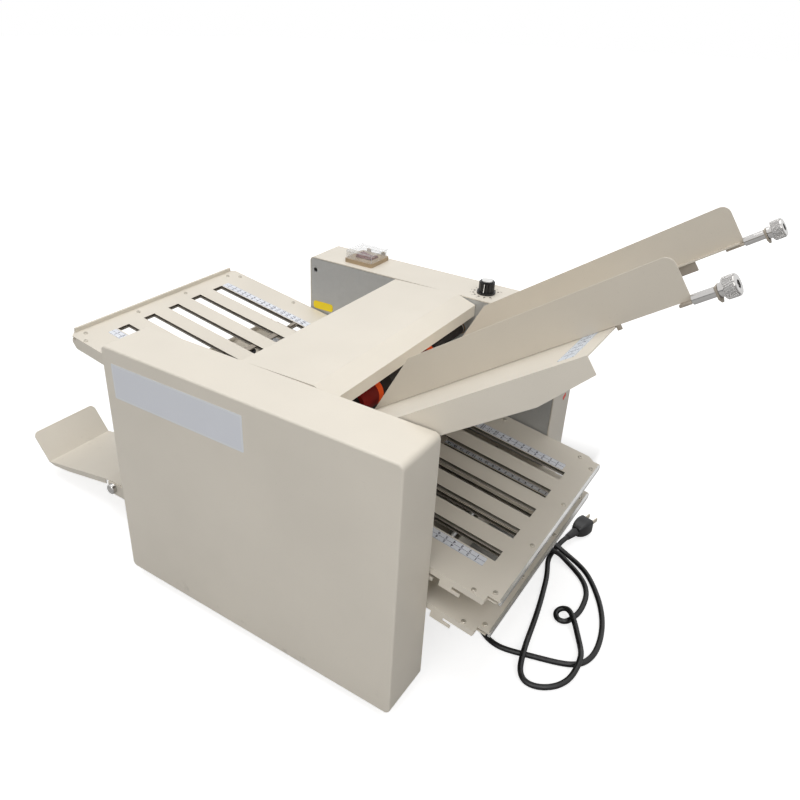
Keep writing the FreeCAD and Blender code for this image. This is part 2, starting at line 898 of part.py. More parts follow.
# ---------------------------------------------------------------- rollers


def gear_shape(teeth, bore):
    """A spur gear about local Z, with tooth gaps cut as a ring pattern."""
    body = new_body(f"gear_{teeth}")
    module = "(roller_pitch / gear_teeth)"
    tip = f"{module} * ({teeth} / 2 + 0.9)"
    root = f"{module} * ({teeth} / 2 - 1.2)"
    pad(body, "XY_Plane", "0", "gear_width", disc("0", "0", tip), disc("0", "0", bore))
    wide = f"({module} * 1.25 + gear_backlash / 2)"
    flank = f"({module} * 0.42 + gear_backlash / 2)"
    gap = pocket(
        body,
        "XY_Plane",
        "-1",
        "gear_width + 1",
        outline(
            [
                (root, f"-({flank})"),
                (f"{tip} + 1", f"-({wide})"),
                (f"{tip} + 1", wide),
                (root, flank),
            ]
        ),
    )
    polar(body, gap, teeth)
    return body.Shape.copy()


def mesh_phase(centre_a, teeth_a, phase_a, centre_b, teeth_b):
    """Turn of gear b, in degrees, that puts its gaps on the teeth of gear a."""
    line = math.degrees(math.atan2(centre_b[1] - centre_a[1], centre_b[0] - centre_a[0]))
    share = ((line - phase_a) / (360 / teeth_a)) % 1
    return line + 180 - (0.5 - share) * 360 / teeth_b


def put_gear(shape, centre, phase, level):
    """Copies a gear onto an axis along Y. Its angles run from +X towards +Z."""
    copy = shape.copy()
    copy.Placement = FreeCAD.Placement(
        row_point(centre[0], level, centre[1]),
        FreeCAD.Rotation(X_AXIS, 90) * FreeCAD.Rotation(Z_AXIS, phase),
    )
    return copy


def roller_shape(centre, near_end, sleeve_radius):
    """Journals, collars and a full-width rubber sleeve."""
    half = size(HALF_GAP)
    x, z = centre
    journal = size("journal_radius")
    shaft = rod(row_point(x, -near_end, z), row_point(x, half + size("side_plate_wall") + 6, z), journal)
    end = half - size("sleeve_end_gap")
    collar = rod(row_point(x, -half + 1, z), row_point(x, half - 1, z), size("collar_radius"))
    sleeve = rod(row_point(x, -end, z), row_point(x, end, z), sleeve_radius)
    return shaft.fuse([collar, sleeve]).removeSplitter()


def make_rollers():
    gear_level = -(size(PLATE_Y) + size("gear_gap"))
    gear_end = -gear_level + size("gear_width") + 2
    teeth = size("gear_teeth")
    idler_teeth = size("idler_teeth")
    # The gap of the pattern lies on local +X, so a tooth lies half a pitch on.
    gear = gear_shape("gear_teeth", "journal_radius")
    phases = [0]
    for i in range(5):
        phases.append(mesh_phase(ROLLERS[i], teeth, phases[i], ROLLERS[i + 1], teeth))
    radius = size("(roller_pitch - nip_clearance) / 2")
    for i, centre in enumerate(ROLLERS):
        ends = gear_end if i < 5 else gear_end + size("belt_gap + belt_width + 2")
        solids = [roller_shape(centre, ends, radius)]
        solids.append(put_gear(gear, centre, phases[i] - 180 / teeth, gear_level))
        if i == 5:
            solids.append(pulley(centre, "driven_pulley_radius", "journal_radius"))
        fixed(f"fold_roller_{i + 1}", Part.makeCompound(solids))
    idler_phase = mesh_phase(ROLLERS[0], teeth, phases[0], IDLER, idler_teeth)
    feed_phase = mesh_phase(IDLER, idler_teeth, idler_phase, FEED, teeth)
    idler = gear_shape("idler_teeth", "idler_stud_radius + journal_play")
    fixed("idler_gear", put_gear(idler, IDLER, idler_phase - 180 / idler_teeth, gear_level))
    make_feed_roller(gear_end, put_gear(gear, FEED, feed_phase - 180 / teeth, gear_level))


def make_feed_roller(gear_end, gear):
    x, z = FEED
    half = size(HALF_GAP)
    core = size("feed_radius - tyre_wall")
    shaft = rod(row_point(x, -gear_end, z), row_point(x, half + size("side_plate_wall") + 6, z), size("journal_radius"))
    collar = rod(row_point(x, -half + 1, z), row_point(x, half - 1, z), size("collar_radius"))
    hubs = []
    tyres = []
    pitch = size("tyre_length + tyre_gap")
    for side in (-1, 1):
        middle_y = size("tyre_shift") + side * pitch / 2
        low = row_point(x, middle_y - size("tyre_length") / 2, z)
        high = row_point(x, middle_y + size("tyre_length") / 2, z)
        hubs.append(rod(low, high, core))
        tyres.append(tube(low, high, size("feed_radius"), core))
    fixed("feed_roller", Part.makeCompound([shaft.fuse([collar] + hubs).removeSplitter(), gear]))
    fixed("feed_tyres", Part.makeCompound(tyres))


def pulley(centre, radius, bore):
    """Flanged belt pulley on an axis along Y."""
    x, z = centre
    start = -(size(PLATE_Y) + size("gear_gap + gear_width + belt_gap"))
    width = size("belt_width")
    core = size(radius)
    body = rod(row_point(x, start, z), row_point(x, start - width, z), core)
    rims = [
        rod(row_point(x, start + 1.5, z), row_point(x, start + 0.3, z), core + 3),
        rod(row_point(x, start - width - 0.3, z), row_point(x, start - width - 1.5, z), core + 3),
    ]
    full = rod(row_point(x, start + 1.5, z), row_point(x, start - width - 1.5, z), core)
    hole = rod(row_point(x, start + 2, z), row_point(x, start - width - 2, z), size(bore))
    return full.fuse([body] + rims).cut(hole).removeSplitter()


def idler_stud():
    """Fixed pin on the near side plate that carries the idler gear."""
    x, z = IDLER
    face = -size(PLATE_Y)
    end = face - size("gear_gap + gear_width + 2")
    return rod(row_point(x, face, z), row_point(x, end, z), size("idler_stud_radius"))


def make_bearings():
    """Flanged bushes in the side plates, one on each end of each roller."""
    bushes = []
    for x, z in ROLLERS + [FEED]:
        for side in (-1, 1):
            inner = row_point(x, side * size(HALF_GAP), z)
            outer = row_point(x, side * size(PLATE_Y), z)
            flange = outer + V(0, side * size("bearing_flange_wall"), 0)
            ring = rod(inner, flange, size("bearing_radius")).fuse(rod(outer, flange, size("bearing_flange")))
            bore = rod(inner - V(0, side, 0), flange + V(0, side, 0), size("journal_radius + journal_play"))
            bushes.append(ring.cut(bore).removeSplitter())
    return fixed("roller_bearings", Part.makeCompound(bushes))


def loop_face(centre_a, radius_a, centre_b, radius_b):
    """Outline of a belt around two circles, as a face in the XZ plane."""
    span = math.dist(centre_a, centre_b)
    line = math.atan2(centre_b[1] - centre_a[1], centre_b[0] - centre_a[0])
    lean = math.acos((radius_a - radius_b) / span)

    def on_circle(centre, radius, angle):
        return row_point(centre[0] + radius * math.cos(angle), 0, centre[1] + radius * math.sin(angle))

    a_top = on_circle(centre_a, radius_a, line + lean)
    a_low = on_circle(centre_a, radius_a, line - lean)
    b_top = on_circle(centre_b, radius_b, line + lean)
    b_low = on_circle(centre_b, radius_b, line - lean)
    wire = Part.Wire(
        [
            Part.LineSegment(a_top, b_top).toShape(),
            Part.Arc(b_top, on_circle(centre_b, radius_b, line), b_low).toShape(),
            Part.LineSegment(b_low, a_low).toShape(),
            Part.Arc(a_low, on_circle(centre_a, radius_a, line + math.pi), a_top).toShape(),
        ]
    )
    return Part.Face(wire)


def make_drive():
    motor_centre = (size("motor_x"), size("motor_z"))
    start = -(size(PLATE_Y) + size("gear_gap + gear_width + belt_gap"))
    inner_a = size("motor_pulley_radius") + 0.3
    inner_b = size("driven_pulley_radius") + 0.3
    wall = size("belt_wall")
    outer = loop_face(motor_centre, inner_a + wall, ROLLERS[5], inner_b + wall)
    inner = loop_face(motor_centre, inner_a, ROLLERS[5], inner_b)
    run = V(0, -size("belt_width"), 0)
    belt = outer.extrude(run).cut(inner.extrude(run))
    belt.translate(V(0, start, 0))
    fixed("drive_belt", belt)

    x, z = motor_centre
    half = size(HALF_GAP)
    face = -half + size("motor_gap")
    back = face + size("motor_length")
    can = rod(row_point(x, face, z), row_point(x, back, z), size("motor_radius"))
    bore = rod(row_point(x, face, z), row_point(x, back - 20, z), size("journal_radius + 2"))
    wide = size("motor_foot_width")
    inset = size("motor_foot_inset")
    foot_low = row_point(x - wide / 2, face + inset, size("base_level + base_wall"))
    rise = size("motor_z - base_level - base_wall")
    saddle = Part.makeBox(wide, size("motor_length") - 2 * inset, rise, foot_low)
    fixed("motor", can.fuse(saddle).cut(bore).removeSplitter())
    shaft_end = start - size("belt_width") - 4
    shaft = rod(row_point(x, shaft_end, z), row_point(x, back - 21, z), size("journal_radius"))
    fixed("motor_shaft", Part.makeCompound([shaft, pulley(motor_centre, "motor_pulley_radius", "journal_radius")]))


# ---------------------------------------------------------------- feed table and guides


def put_on_table(thing, deep="0"):
    place(thing, "table_x", deep, "table_z", Y_AXIS, "-table_slope")


def make_feed_table():
    """Sloping table of folded sheet with side skirts."""
    body = new_body("feed_table")
    half = "table_width / 2"
    pad(body, "XY_Plane", "-sheet_wall", "0", box("0", f"-({half})", "table_length", half))
    skirt = [
        ("0", "0"),
        ("0", "-skirt_depth"),
        ("skirt_kink", "-skirt_depth"),
        ("table_length", "-skirt_end_depth"),
        ("table_length", "0"),
    ]
    holes = [disc(u, "-table_bar_drop", "bar_radius + 0.3") for u in TABLE_BAR_U]
    pad(body, "XZ_Plane", f"-({half})", f"-({half}) + sheet_wall", outline(skirt))
    pad(body, "XZ_Plane", f"({half}) - sheet_wall", half, outline(skirt))
    pocket(body, "XZ_Plane", f"-({half}) - 1", f"({half}) + 1", *holes)
    put_on_table(body)
    return keep("feed_table", body)


def guide_place(place_, side):
    """A place along the table for the near guide; the far guide reaches a little further."""
    return f"({place_} + far_guide_reach)" if side > 0 else place_


def side_guide(name, side):
    """Tall sheet guide with a slanted front end and a folded foot towards the paper."""
    body = new_body(name)
    outside = "sheet_wall / 2"
    end = guide_place("guide_end", side)
    profile = [
        ("guide_start", "guide_lift"),
        (end, "guide_lift"),
        (end, "guide_height"),
        ("guide_slant + guide_start", "guide_height"),
    ]
    pad(body, "XZ_Plane", f"-{outside}", outside, outline(profile))
    corner = V(size(end), 0, size("guide_height"))
    round_edges(
        body,
        "guide_corner",
        lambda edge: along(edge, Y_AXIS) and (middle(edge) - corner).Length < 1,
    )
    inner, outer = ("0", "guide_flange") if side < 0 else ("-guide_flange", "0")
    pad(
        body,
        "XY_Plane",
        "guide_lift",
        "guide_lift + sheet_wall",
        box("guide_start + guide_foot_start", inner, f"{end} - guide_foot_inset", outer),
    )
    put_on_table(body, f"{side} * guide_spread")
    keep(name, body)


def guide_bracket(name, side):
    """Saddle under the guide's end that the rod turns in, the lug at the table's end and the pointed tab."""
    body = new_body(name)
    rail = "(guide_lift - 0.1)"
    start = guide_place("saddle_start", side)
    end = guide_place("saddle_end", side)
    pad(body, "XZ_Plane", "-saddle_half", "saddle_half", box(start, "-saddle_depth", end, rail))
    bore = disc("0", "0", "rod_radius + rod_play")
    pocket(body, "YZ_Plane", guide_place("guide_end", side), f"{end} + 1", bore)
    put_on_table(body, f"{side} * guide_spread")
    return fixed(name, Part.makeCompound([body.Shape.copy(), lug_shape(side), tab_shape(side)]))


def lug_shape(side):
    """Thin lug under the guide that catches the table's lower edge."""
    wall = size("lug_wall")
    low = V(size("table_length + jaw_gap"), 0 if side < 0 else -wall, -size("lug_depth"))
    lug = Part.makeBox(size("lug_length"), wall, size("lug_depth + guide_lift - 0.1"), low)
    lug.Placement = table_placement(side * size("guide_spread")) * lug.Placement
    return lug


def tab_shape(side):
    """Small upright tab with a pointed foot that rides on the rod."""
    half = size("tab_half")
    top = size("tab_top")
    foot = size("tab_foot")
    u = size(guide_place("tab_place", side))
    points = [(-half, top), (half, top), (half, -half), (0, -foot), (-half, -half), (-half, top)]
    wire = Part.makePolygon([V(u, y, z) for y, z in points])
    tab = Part.Face(wire).extrude(V(size("tab_wall"), 0, 0))
    tab = tab.cut(Part.makeCylinder(size("rod_radius + rod_play"), 2 * size("tab_wall"), V(u - 1, 0, 0), X_AXIS))
    tab.Placement = table_placement(side * size("guide_spread"))
    return tab


def table_placement(deep):
    return FreeCAD.Placement(
        row_point(size("table_x"), deep, size("table_z")), FreeCAD.Rotation(Y_AXIS, -size("table_slope"))
    )


def guide_screw(name, side):
    """Rod and knurled knob turned in one piece, along the table slope."""
    start = guide_place("guide_end", side)
    end = guide_place("rod_end", side)
    body = turned(
        name,
        [
            ("0", f"{start} + 0.6"),
            ("rod_radius", f"{end} - 3.5"),
            ("rod_radius + 1.5", end),
            ("knob_radius - 1", f"{end} + 1"),
            ("knob_radius", f"{end} + knob_length - 1"),
            ("knob_radius - 1", f"{end} + knob_length"),
        ],
    )
    hexagon = [(f"4 * cos({60 * i})", f"4 * sin({60 * i})") for i in range(6)]
    pocket(body, "XY_Plane", f"{end} + knob_length - 5", f"{end} + knob_length + 1", outline(hexagon))
    shape = body.Shape.copy()
    turn = FreeCAD.Rotation(Y_AXIS, 90 - size("table_slope"))
    shape.Placement = FreeCAD.Placement(table_placement(side * size("guide_spread")).Base, turn)
    return fixed(name, shape)


# ---------------------------------------------------------------- top cover, tray, chute


def make_top_cover():
    """Bent sheet cover over the feed roller, with a lip over the mouth and hinge trunnions."""
    body = new_body("top_cover")
    half = "cover_width / 2"
    wall = "cover_wall"
    profile = [
        ("cover_left", "cover_level - 2 - cover_flange"),
        ("cover_left", "cover_level - 2"),
        ("cover_crease", "cover_level"),
        ("cover_lip", "cover_lip_top"),
        ("cover_lip", "cover_lip_bottom"),
        (f"cover_lip - {wall}", "cover_lip_bottom"),
        (f"cover_lip - {wall}", f"cover_lip_top - {wall}"),
        ("cover_crease", f"cover_level - {wall}"),
        (f"cover_left + {wall}", f"cover_level - 2 - {wall}"),
        (f"cover_left + {wall}", "cover_level - 2 - cover_flange"),
    ]
    pad(body, "XZ_Plane", f"-({half})", half, outline(profile))
    ear = [
        ("cover_left", "cover_level - 2 - cover_flange"),
        ("cover_left + 22", "cover_level - 2 - cover_flange"),
        ("cover_lip - 1", "cover_lip_top - 8"),
        ("cover_lip - 1", f"cover_lip_top - {wall} / 2"),
        ("cover_crease", f"cover_level - {wall} / 2"),
        ("cover_left", f"cover_level - 2 - {wall} / 2"),
    ]
    pad(body, "XZ_Plane", f"-({half})", f"-({half}) + {wall}", outline(ear))
    pad(body, "XZ_Plane", f"({half}) - {wall}", half, outline(ear))
    end = "inner_gap / 2 + side_plate_wall"
    pin = disc("hinge_x", "hinge_z", "hinge_radius")
    pad(body, "XZ_Plane", f"({half}) - {wall}", end, pin)
    pad(body, "XZ_Plane", f"-({end})", f"-({half}) + {wall}", pin)
    place(body)
    return keep("top_cover", body)


def make_tray():
    """Catch tray of folded sheet: a floor, a raised end flap, a flat tongue and two side lips."""
    body = new_body("output_tray")
    slope = "tan(arm_slope)"
    end_z = f"tray_knee_z + (tray_end_x - tray_knee_x) * {slope}"
    profile = [
        ("tray_tip_x", "tray_tip_z"),
        ("tray_bend_x", "tray_bend_z"),
        ("tray_knee_x", "tray_knee_z"),
        ("tray_end_x", end_z),
        ("tray_end_x", f"{end_z} - sheet_wall"),
        ("tray_knee_x", "tray_knee_z - sheet_wall"),
        ("tray_bend_x - 0.5 * sheet_wall", "tray_bend_z - sheet_wall"),
        ("tray_tip_x - 0.8 * sheet_wall", "tray_tip_z - 0.6 * sheet_wall"),
    ]
    far = "tray_near_y + tray_width"
    pad(body, "XZ_Plane", "tray_near_y", far, outline(profile))
    lip = [
        ("tray_bend_x + 1", "tray_bend_z - 0.5 * sheet_wall"),
        ("tray_knee_x - 4", "tray_knee_z - 1.2 * sheet_wall"),
        ("tray_knee_x - 4", "tray_knee_z - tray_rim - 1"),
        ("tray_bend_x + 45", "tray_bend_z + 7.5 - 0.8 * tray_rim"),
        ("tray_bend_x + 12", "tray_bend_z - 0.3 * tray_rim"),
    ]
    pad(body, "XZ_Plane", "tray_near_y", "tray_near_y + sheet_wall", outline(lip))
    pad(body, "XZ_Plane", f"{far} - sheet_wall", far, outline(lip))
    tip = size("tray_tip_x - 0.4 * sheet_wall")
    round_edges(body, "9", lambda edge: abs(middle(edge).x - tip) < 0.2 and edge.Length < 2)
    place(body)
    return keep("output_tray", body)


def put_on_arm(thing):
    place(thing, "arm_x", "0", "arm_z", Y_AXIS, "-arm_slope")


def make_tray_arm():
    """Channel under the tray's tongue, with an end plate bolted to the base's left flange."""
    body = new_body("tray_arm")
    near = "tray_near_y - arm_margin"
    far = "tray_near_y + tray_width + arm_margin"
    end = "(base_left - arm_x - 1.9) / cos(arm_slope)"
    pad(body, "XY_Plane", "-sheet_wall", "0", box("0", near, end, far))
    side = [
        ("0", "0"),
        ("0", "-0.6 * arm_depth"),
        ("5", "-arm_depth"),
        (f"{end} - 2", "-arm_depth - 8"),
        (end, "-arm_depth - 8"),
        (end, "0"),
    ]
    pad(body, "XZ_Plane", near, f"{near} + sheet_wall", outline(side))
    pad(body, "XZ_Plane", f"{far} - sheet_wall", far, outline(side))
    pad(body, "YZ_Plane", f"{end} - 2 * sheet_wall", end, box(near, "-arm_depth - 8", far, "0"))
    put_on_arm(body)
    return keep("tray_arm", body)


def make_tray_screw():
    """Knurled thumbscrew on the arm's near side."""
    x = size("tray_screw_x")
    z = size("tray_screw_z")
    near = size("tray_near_y - arm_margin")
    radius = size("tray_screw_radius")
    head = rod(row_point(x, near - size("tray_screw_length"), z), row_point(x, near - 0.05, z), radius)
    rim = [edge for edge in head.Edges if edge.Closed]
    head = head.makeChamfer(0.8, rim)
    return fixed("tray_screw", head)


def make_chute():
    """Sheet that leads the folded paper from the last nip to the tray."""
    body = new_body("delivery_chute")
    half = "(inner_gap / 2 - 1)"
    profile = [
        ("2", "chute_left_z"),
        ("chute_right", "chute_right_z"),
        ("chute_right", "chute_right_z - sheet_wall"),
        ("2", "chute_left_z - sheet_wall"),
    ]
    pad(body, "XZ_Plane", f"-{half}", half, outline(profile))
    for low, high in ((f"-{half} - 1", f"-{half} + sheet_wall"), (f"{half} - sheet_wall", f"{half} + 1")):
        tab = [
            ("20", "chute_left_z + 2.5 - sheet_wall"),
            ("160", "chute_right_z - 1.5 - sheet_wall"),
            ("160", "chute_right_z - 12"),
            ("20", "chute_left_z - 10"),
        ]
        pad(body, "XZ_Plane", low, high, outline(tab))
    place(body)
    return keep("delivery_chute", body)


# ---------------------------------------------------------------- controls


def make_dial():
    """Skirted control knob with a short shaft through the cover."""
    body = turned(
        "speed_dial",
        [
            ("0", "-12"),
            ("dial_shaft_radius", "0.4"),
            ("dial_radius + 1.5", "3"),
            ("dial_radius - 0.5", "dial_height - 1.5"),
            ("dial_radius - 2", "dial_height"),
        ],
    )
    flute = pocket(body, "XY_Plane", "4", "dial_height + 1", disc("dial_radius + 0.6", "0", "1.6"))
    polar(body, flute, 14)
    place(body, "dial_x", "dial_y", "housing_height")
    return keep("speed_dial", body)


def make_switch():
    """Frame, rocker and hinged clear guard of the power switch."""
    frame_body = new_body("switch_frame")
    length, width = "switch_length", "switch_width"
    reach = "(rocker_width / 2 + 2)"
    pad(frame_body, "XY_Plane", "0", "switch_base", box("0", "0", length, width))
    round_edges(frame_body, "3", lambda edge: along(edge, Z_AXIS))

    def around_rocker(margin):
        return box(
            f"switch_length / 2 - rocker_length / 2 - {margin}",
            f"switch_width / 2 - rocker_width / 2 - {margin}",
            f"switch_length / 2 + rocker_length / 2 + {margin}",
            f"switch_width / 2 + rocker_width / 2 + {margin}",
        )

    pad(frame_body, "XY_Plane", "-12", "0", around_rocker("2.5"))
    pocket(frame_body, "XY_Plane", "-10", "switch_base + 1", around_rocker("0.5"))
    pivot = disc(f"{length} / 2", "rocker_pin_rise", "rocker_pin_radius + rod_play")
    pocket(frame_body, "XZ_Plane", f"{width} / 2 - {reach}", f"{width} / 2 + {reach}", pivot)
    hinge_y = f"({width} + guard_pin_back)"
    hinge_z = "(switch_base + guard_pin_rise)"
    hinge = disc(hinge_y, hinge_z, "guard_pin_radius")
    post = box(f"{width} - 1", "switch_base - 2", f"{hinge_y} + guard_pin_radius", hinge_z)
    barrel_start = f"({length} - guard_barrel_length) / 2"
    barrel_end = f"({length} + guard_barrel_length) / 2"
    for start, end in (
        (f"{barrel_start} - 6", f"{barrel_start} - 0.3"),
        (f"{barrel_end} + 0.3", f"{barrel_end} + 6"),
    ):
        pad(frame_body, "YZ_Plane", start, end, post)
        pad(frame_body, "YZ_Plane", start, end, hinge)
        pocket(frame_body, "YZ_Plane", start, end, box(f"{width} - 2", "switch_base", f"{width} - 0.8", f"{hinge_z} + 3"))
    place(frame_body, "switch_x", "switch_y", "housing_height")
    keep("switch_frame", frame_body)

    rocker = new_body("power_rocker")
    half = "rocker_length / 2"
    profile = [
        (f"-({half})", "3.2"),
        ("-1", "2"),
        ("1", "2"),
        (half, "3.2"),
        (f"({half}) - 1", "8.1"),
        ("0", "6.6"),
        (f"-({half}) + 1", "10.1"),
    ]
    pad(rocker, "XZ_Plane", "-rocker_width / 2", "rocker_width / 2", outline(profile))
    pad(rocker, "XZ_Plane", f"-{reach}", reach, disc("0", "rocker_pin_rise", "rocker_pin_radius"))
    place(rocker, f"switch_x + {length} / 2", f"switch_y + {width} / 2", "housing_height")
    keep("power_rocker", rocker)

    guard = new_body("switch_guard")
    pad(
        guard,
        "XY_Plane",
        "switch_base + 0.3",
        "switch_base + guard_height",
        box("1", "1", f"{length} - 1", f"{width} - 1"),
    )
    round_edges(guard, "3", lambda edge: along(edge, Z_AXIS))
    faces = guard.Tip.Shape.Faces
    low = size("switch_base") + 0.3
    open_face = [f"Face{i}" for i, face in enumerate(faces, start=1) if abs(face.BoundBox.Center.z - low) < 1e-6]
    shell = guard.newObject("PartDesign::Thickness", "guard_shell")
    shell.Base = (guard.Group[-2], open_face)
    shell.Reversed = True
    shell.setExpression("Value", bound("guard_wall"))
    DOC.recompute()
    web = box(f"{width} - 2", f"{hinge_z} - 0.6", hinge_y, f"{hinge_z} + 0.6")
    pad(guard, "YZ_Plane", barrel_start, barrel_end, hinge)
    pad(guard, "YZ_Plane", barrel_start, barrel_end, web)
    place(guard, "switch_x", "switch_y", "housing_height")
    keep("switch_guard", guard)


def make_control_board():
    """Speed control board on standoffs inside the far housing, with its choke, capacitor and dial pot."""
    start = size(PLATE_Y)
    left = size("board_x")
    low = size("board_z")
    length = size("board_length")
    height = size("board_height")
    back = start + size("board_standoff")
    face = back + size("board_wall")
    board = Part.makeBox(length, size("board_wall"), height, row_point(left, back, low))
    pieces = []
    corner = size("board_corner")
    for x in (left + corner, left + length - corner):
        for z in (low + corner, low + height - corner):
            pieces.append(rod(row_point(x, start, z), row_point(x, back, z), 3))
    for share, radius, tall in ((0.25, 11, 20), (0.52, 8, 18)):
        x = left + share * length
        z = low + 0.28 * height
        pieces.append(rod(row_point(x, face, z), row_point(x, face + tall, z), radius))
    heat_sink = row_point(left + length / 2, face, low + 0.53 * height)
    pieces.append(Part.makeBox(length / 3, size("heat_sink_height"), height / 3, heat_sink))
    return fixed("speed_control_board", board.fuse(pieces).removeSplitter())


# ---------------------------------------------------------------- cord

# Centre line of the cord, from the gland to the plug. Each point is its distance from the base's right
# flange, its y and its height above the cord's own lying level.
CORD_ROUTE = (
    (24, 144, 24.45),
    (39, 144, 24.35),
    (54, 144.3, 23.9),
    (69, 144.7, 22.6),
    (84, 145.2, 18.4),
    (100, 145.5, 10.8),
    (117, 144.5, 3.6),
    (134.5, 139.5, 0.4),
    (150, 129.5, 0),
    (163, 115.5, 0),
    (176, 98, 0),
    (189, 77, 0),
    (200.5, 51, 0),
    (207.5, 23, 0),
    (209.5, -3.5, 0),
    (205, -23, 0),
    (195, -35, 0),
    (181, -42.2, 0),
    (163, -48, 0),
    (143, -53.8, 0),
    (124, -59.8, 0),
    (107, -62.5, 0),
    (91, -58.5, 0),
    (76, -48.5, 0),
    (64, -34, 0),
    (55, -15.5, 0),
    (49.5, 5, 0),
    (46.5, 28, 0),
    (45.5, 52, 0),
    (46.5, 76, 0),
    (50.5, 98, 0),
    (58.5, 114.5, 0),
    (70.5, 126, 0.4),
    (81, 131.5, 5),
    (92.5, 134.8, 8.3),
    (107, 135.6, 8.3),
    (120.5, 131.5, 3.4),
    (136, 124.5, 0.3),
    (149, 114.5, 0),
    (159.5, 102, 0),
    (166.5, 86.5, 0),
    (169, 69, 0),
    (169.5, 51.5, 0),
    (166, 36.5, 0),
    (160.8, 24.2, 0),
    (150.4, 22.4, 0.3),
    (144.2, 30.8, 1.8),
    (148.4, 40, 4.8),
    (158.8, 40.6, 8),
    (171, 25, 8.4),
    (182.5, 9, 2.6),
    (192.5, -7.5, 1.6),
    (198, -23.5, 8.2),
    (200.5, -40, 8.2),
    (199, -57.5, 2.4),
    (192.5, -72.5, 0.3),
    (181.5, -85, 0),
    (168, -92.5, 0),
    (155, -92.8, 0.3),
    (145.5, -84.5, 3),
    (140.8, -68.5, 8.2),
    (136.8, -49.5, 8.2),
    (132.6, -29, 2),
    (129, -7, 0),
    (124.9, 17, 0),
    (120, 42, 0),
    (114.6, 66, 0),
    (109.6, 87, 0),
    (103.6, 105, 0),
    (98.4, 118.5, 0),
    (96.2, 131, 0),
    (96.6, 143, 0.6),
    (98.6, 154, 4.2),
    (101.4, 165, 8.2),
    (104.2, 176, 8.2),
)
CORD_LIFT = 0.05


def cord_points():
    lying = size("cord_diameter / 2") + CORD_LIFT - size("foot_height")
    flange = size(BASE_RIGHT)
    return [row_point(flange + x, y, lying + lift) for x, y, lift in CORD_ROUTE]


def rounded_path(points):
    """Straight runs joined by tangent arcs, each as large as its two runs allow."""
    edges = []
    radii = []
    last = points[0]
    for i in range(1, len(points) - 1):
        back = points[i - 1] - points[i]
        ahead = points[i + 1] - points[i]
        shorter = min(back.Length, ahead.Length)
        turn = math.pi - back.getAngle(ahead)
        cut = 0.45 * shorter
        radii.append(cut / math.tan(turn / 2))
        enter = points[i] + back.normalize() * cut
        leave = points[i] + ahead.normalize() * cut
        bisector = (back + ahead).normalize()
        distance = cut / math.cos((math.pi - turn) / 2)
        centre = points[i] + bisector * distance
        crown = centre - bisector * radii[-1]
        edges.append(Part.LineSegment(last, enter).toShape())
        edges.append(Part.Arc(enter, crown, leave).toShape())
        last = leave
    edges.append(Part.LineSegment(last, points[-1]).toShape())
    return Part.Wire(edges), radii


def make_cord():
    points = cord_points()
    wire, radii = rounded_path(points)
    radius = size("cord_diameter / 2")
    first = points[1] - points[0]
    profile = Part.Wire([Part.Circle(points[0], first, radius).toShape()])
    cord = wire.makePipeShell([profile], True, False)
    ideal = math.pi * radius**2 * wire.Length
    print("cord length", round(wire.Length, 1), "volume share", round(cord.Volume / ideal, 4))
    print("cord radii", sorted(round(r, 1) for r in radii)[:12])
    fixed("power_cord", cord)


def make_gland():
    """Strain relief bushing in the base's right flange, tapered along the cord."""
    points = cord_points()
    right = size(BASE_RIGHT)
    start = row_point(right - 4, size("gland_y"), size("gland_z"))
    wall_face = row_point(right, size("gland_y"), size("gland_z"))
    outlet = points[0]
    heading = (points[1] - points[0]).normalize()
    flange_wall = V(3, 0, 0)
    neck = rod(start, wall_face, size("cord_diameter / 2 + 2"))
    flange = rod(wall_face, wall_face + flange_wall, size("cord_diameter / 2 + 4.5"))
    reach = outlet.x - wall_face.x - 0.5 * flange_wall.x
    wide = size("cord_diameter / 2 + 2.5")
    cone = Part.makeCone(wide, size("cord_diameter / 2 + 0.9"), reach, outlet - heading * reach, heading)
    return fixed("cord_gland", neck.fuse([flange, cone]).removeSplitter())


def make_plug():
    """Moulded plug lying on the table, with a ribbed tail, two blades and a round earth pin."""
    points = cord_points()
    tail = points[-1]
    heading = points[-1] - points[-2]
    heading.z = 0
    heading.normalize()
    half_w = size("plug_width") / 2
    half_h = size("plug_height") / 2

    def section(u, w, h):
        corner = 0.4 * min(w, h)
        face = Part.makeBox(1, 2 * w, 2 * h, V(u, -w, -h))
        face = face.makeFillet(corner, [e for e in face.Edges if along(e, X_AXIS)])
        wires = [f.OuterWire for f in face.Faces if abs(f.CenterOfMass.x - u) < 1e-6]
        return wires[0]

    length = size("plug_length")
    tail_length = 20
    neck = Part.makeCone(4.3, 6.5, tail_length + 2, V(0, 0, 0), X_AXIS)
    body = Part.makeLoft(
        [
            section(tail_length, 0.6 * half_w, 0.62 * half_h),
            section(tail_length + 0.45 * length, 0.95 * half_w, half_h),
            section(tail_length + length, half_w, half_h),
        ],
        True,
    )
    front = tail_length + length
    blade_a = Part.makeBox(17, 1.5, 6.4, V(front, -7.1, -0.5))
    blade_b = Part.makeBox(17, 1.5, 6.4, V(front, 5.6, -0.5))
    earth = Part.makeCylinder(2.4, 20, V(front, 0, -6), X_AXIS)
    angle = math.degrees(math.atan2(heading.y, heading.x))
    placement = FreeCAD.Placement(tail, FreeCAD.Rotation(Z_AXIS, angle))
    moulded = neck.fuse(body).removeSplitter()
    pins = Part.makeCompound([blade_a, blade_b, earth])
    moulded.Placement = placement
    pins.Placement = placement
    fixed("power_plug", moulded)
    fixed("plug_pins", pins)


# ---------------------------------------------------------------- assembly


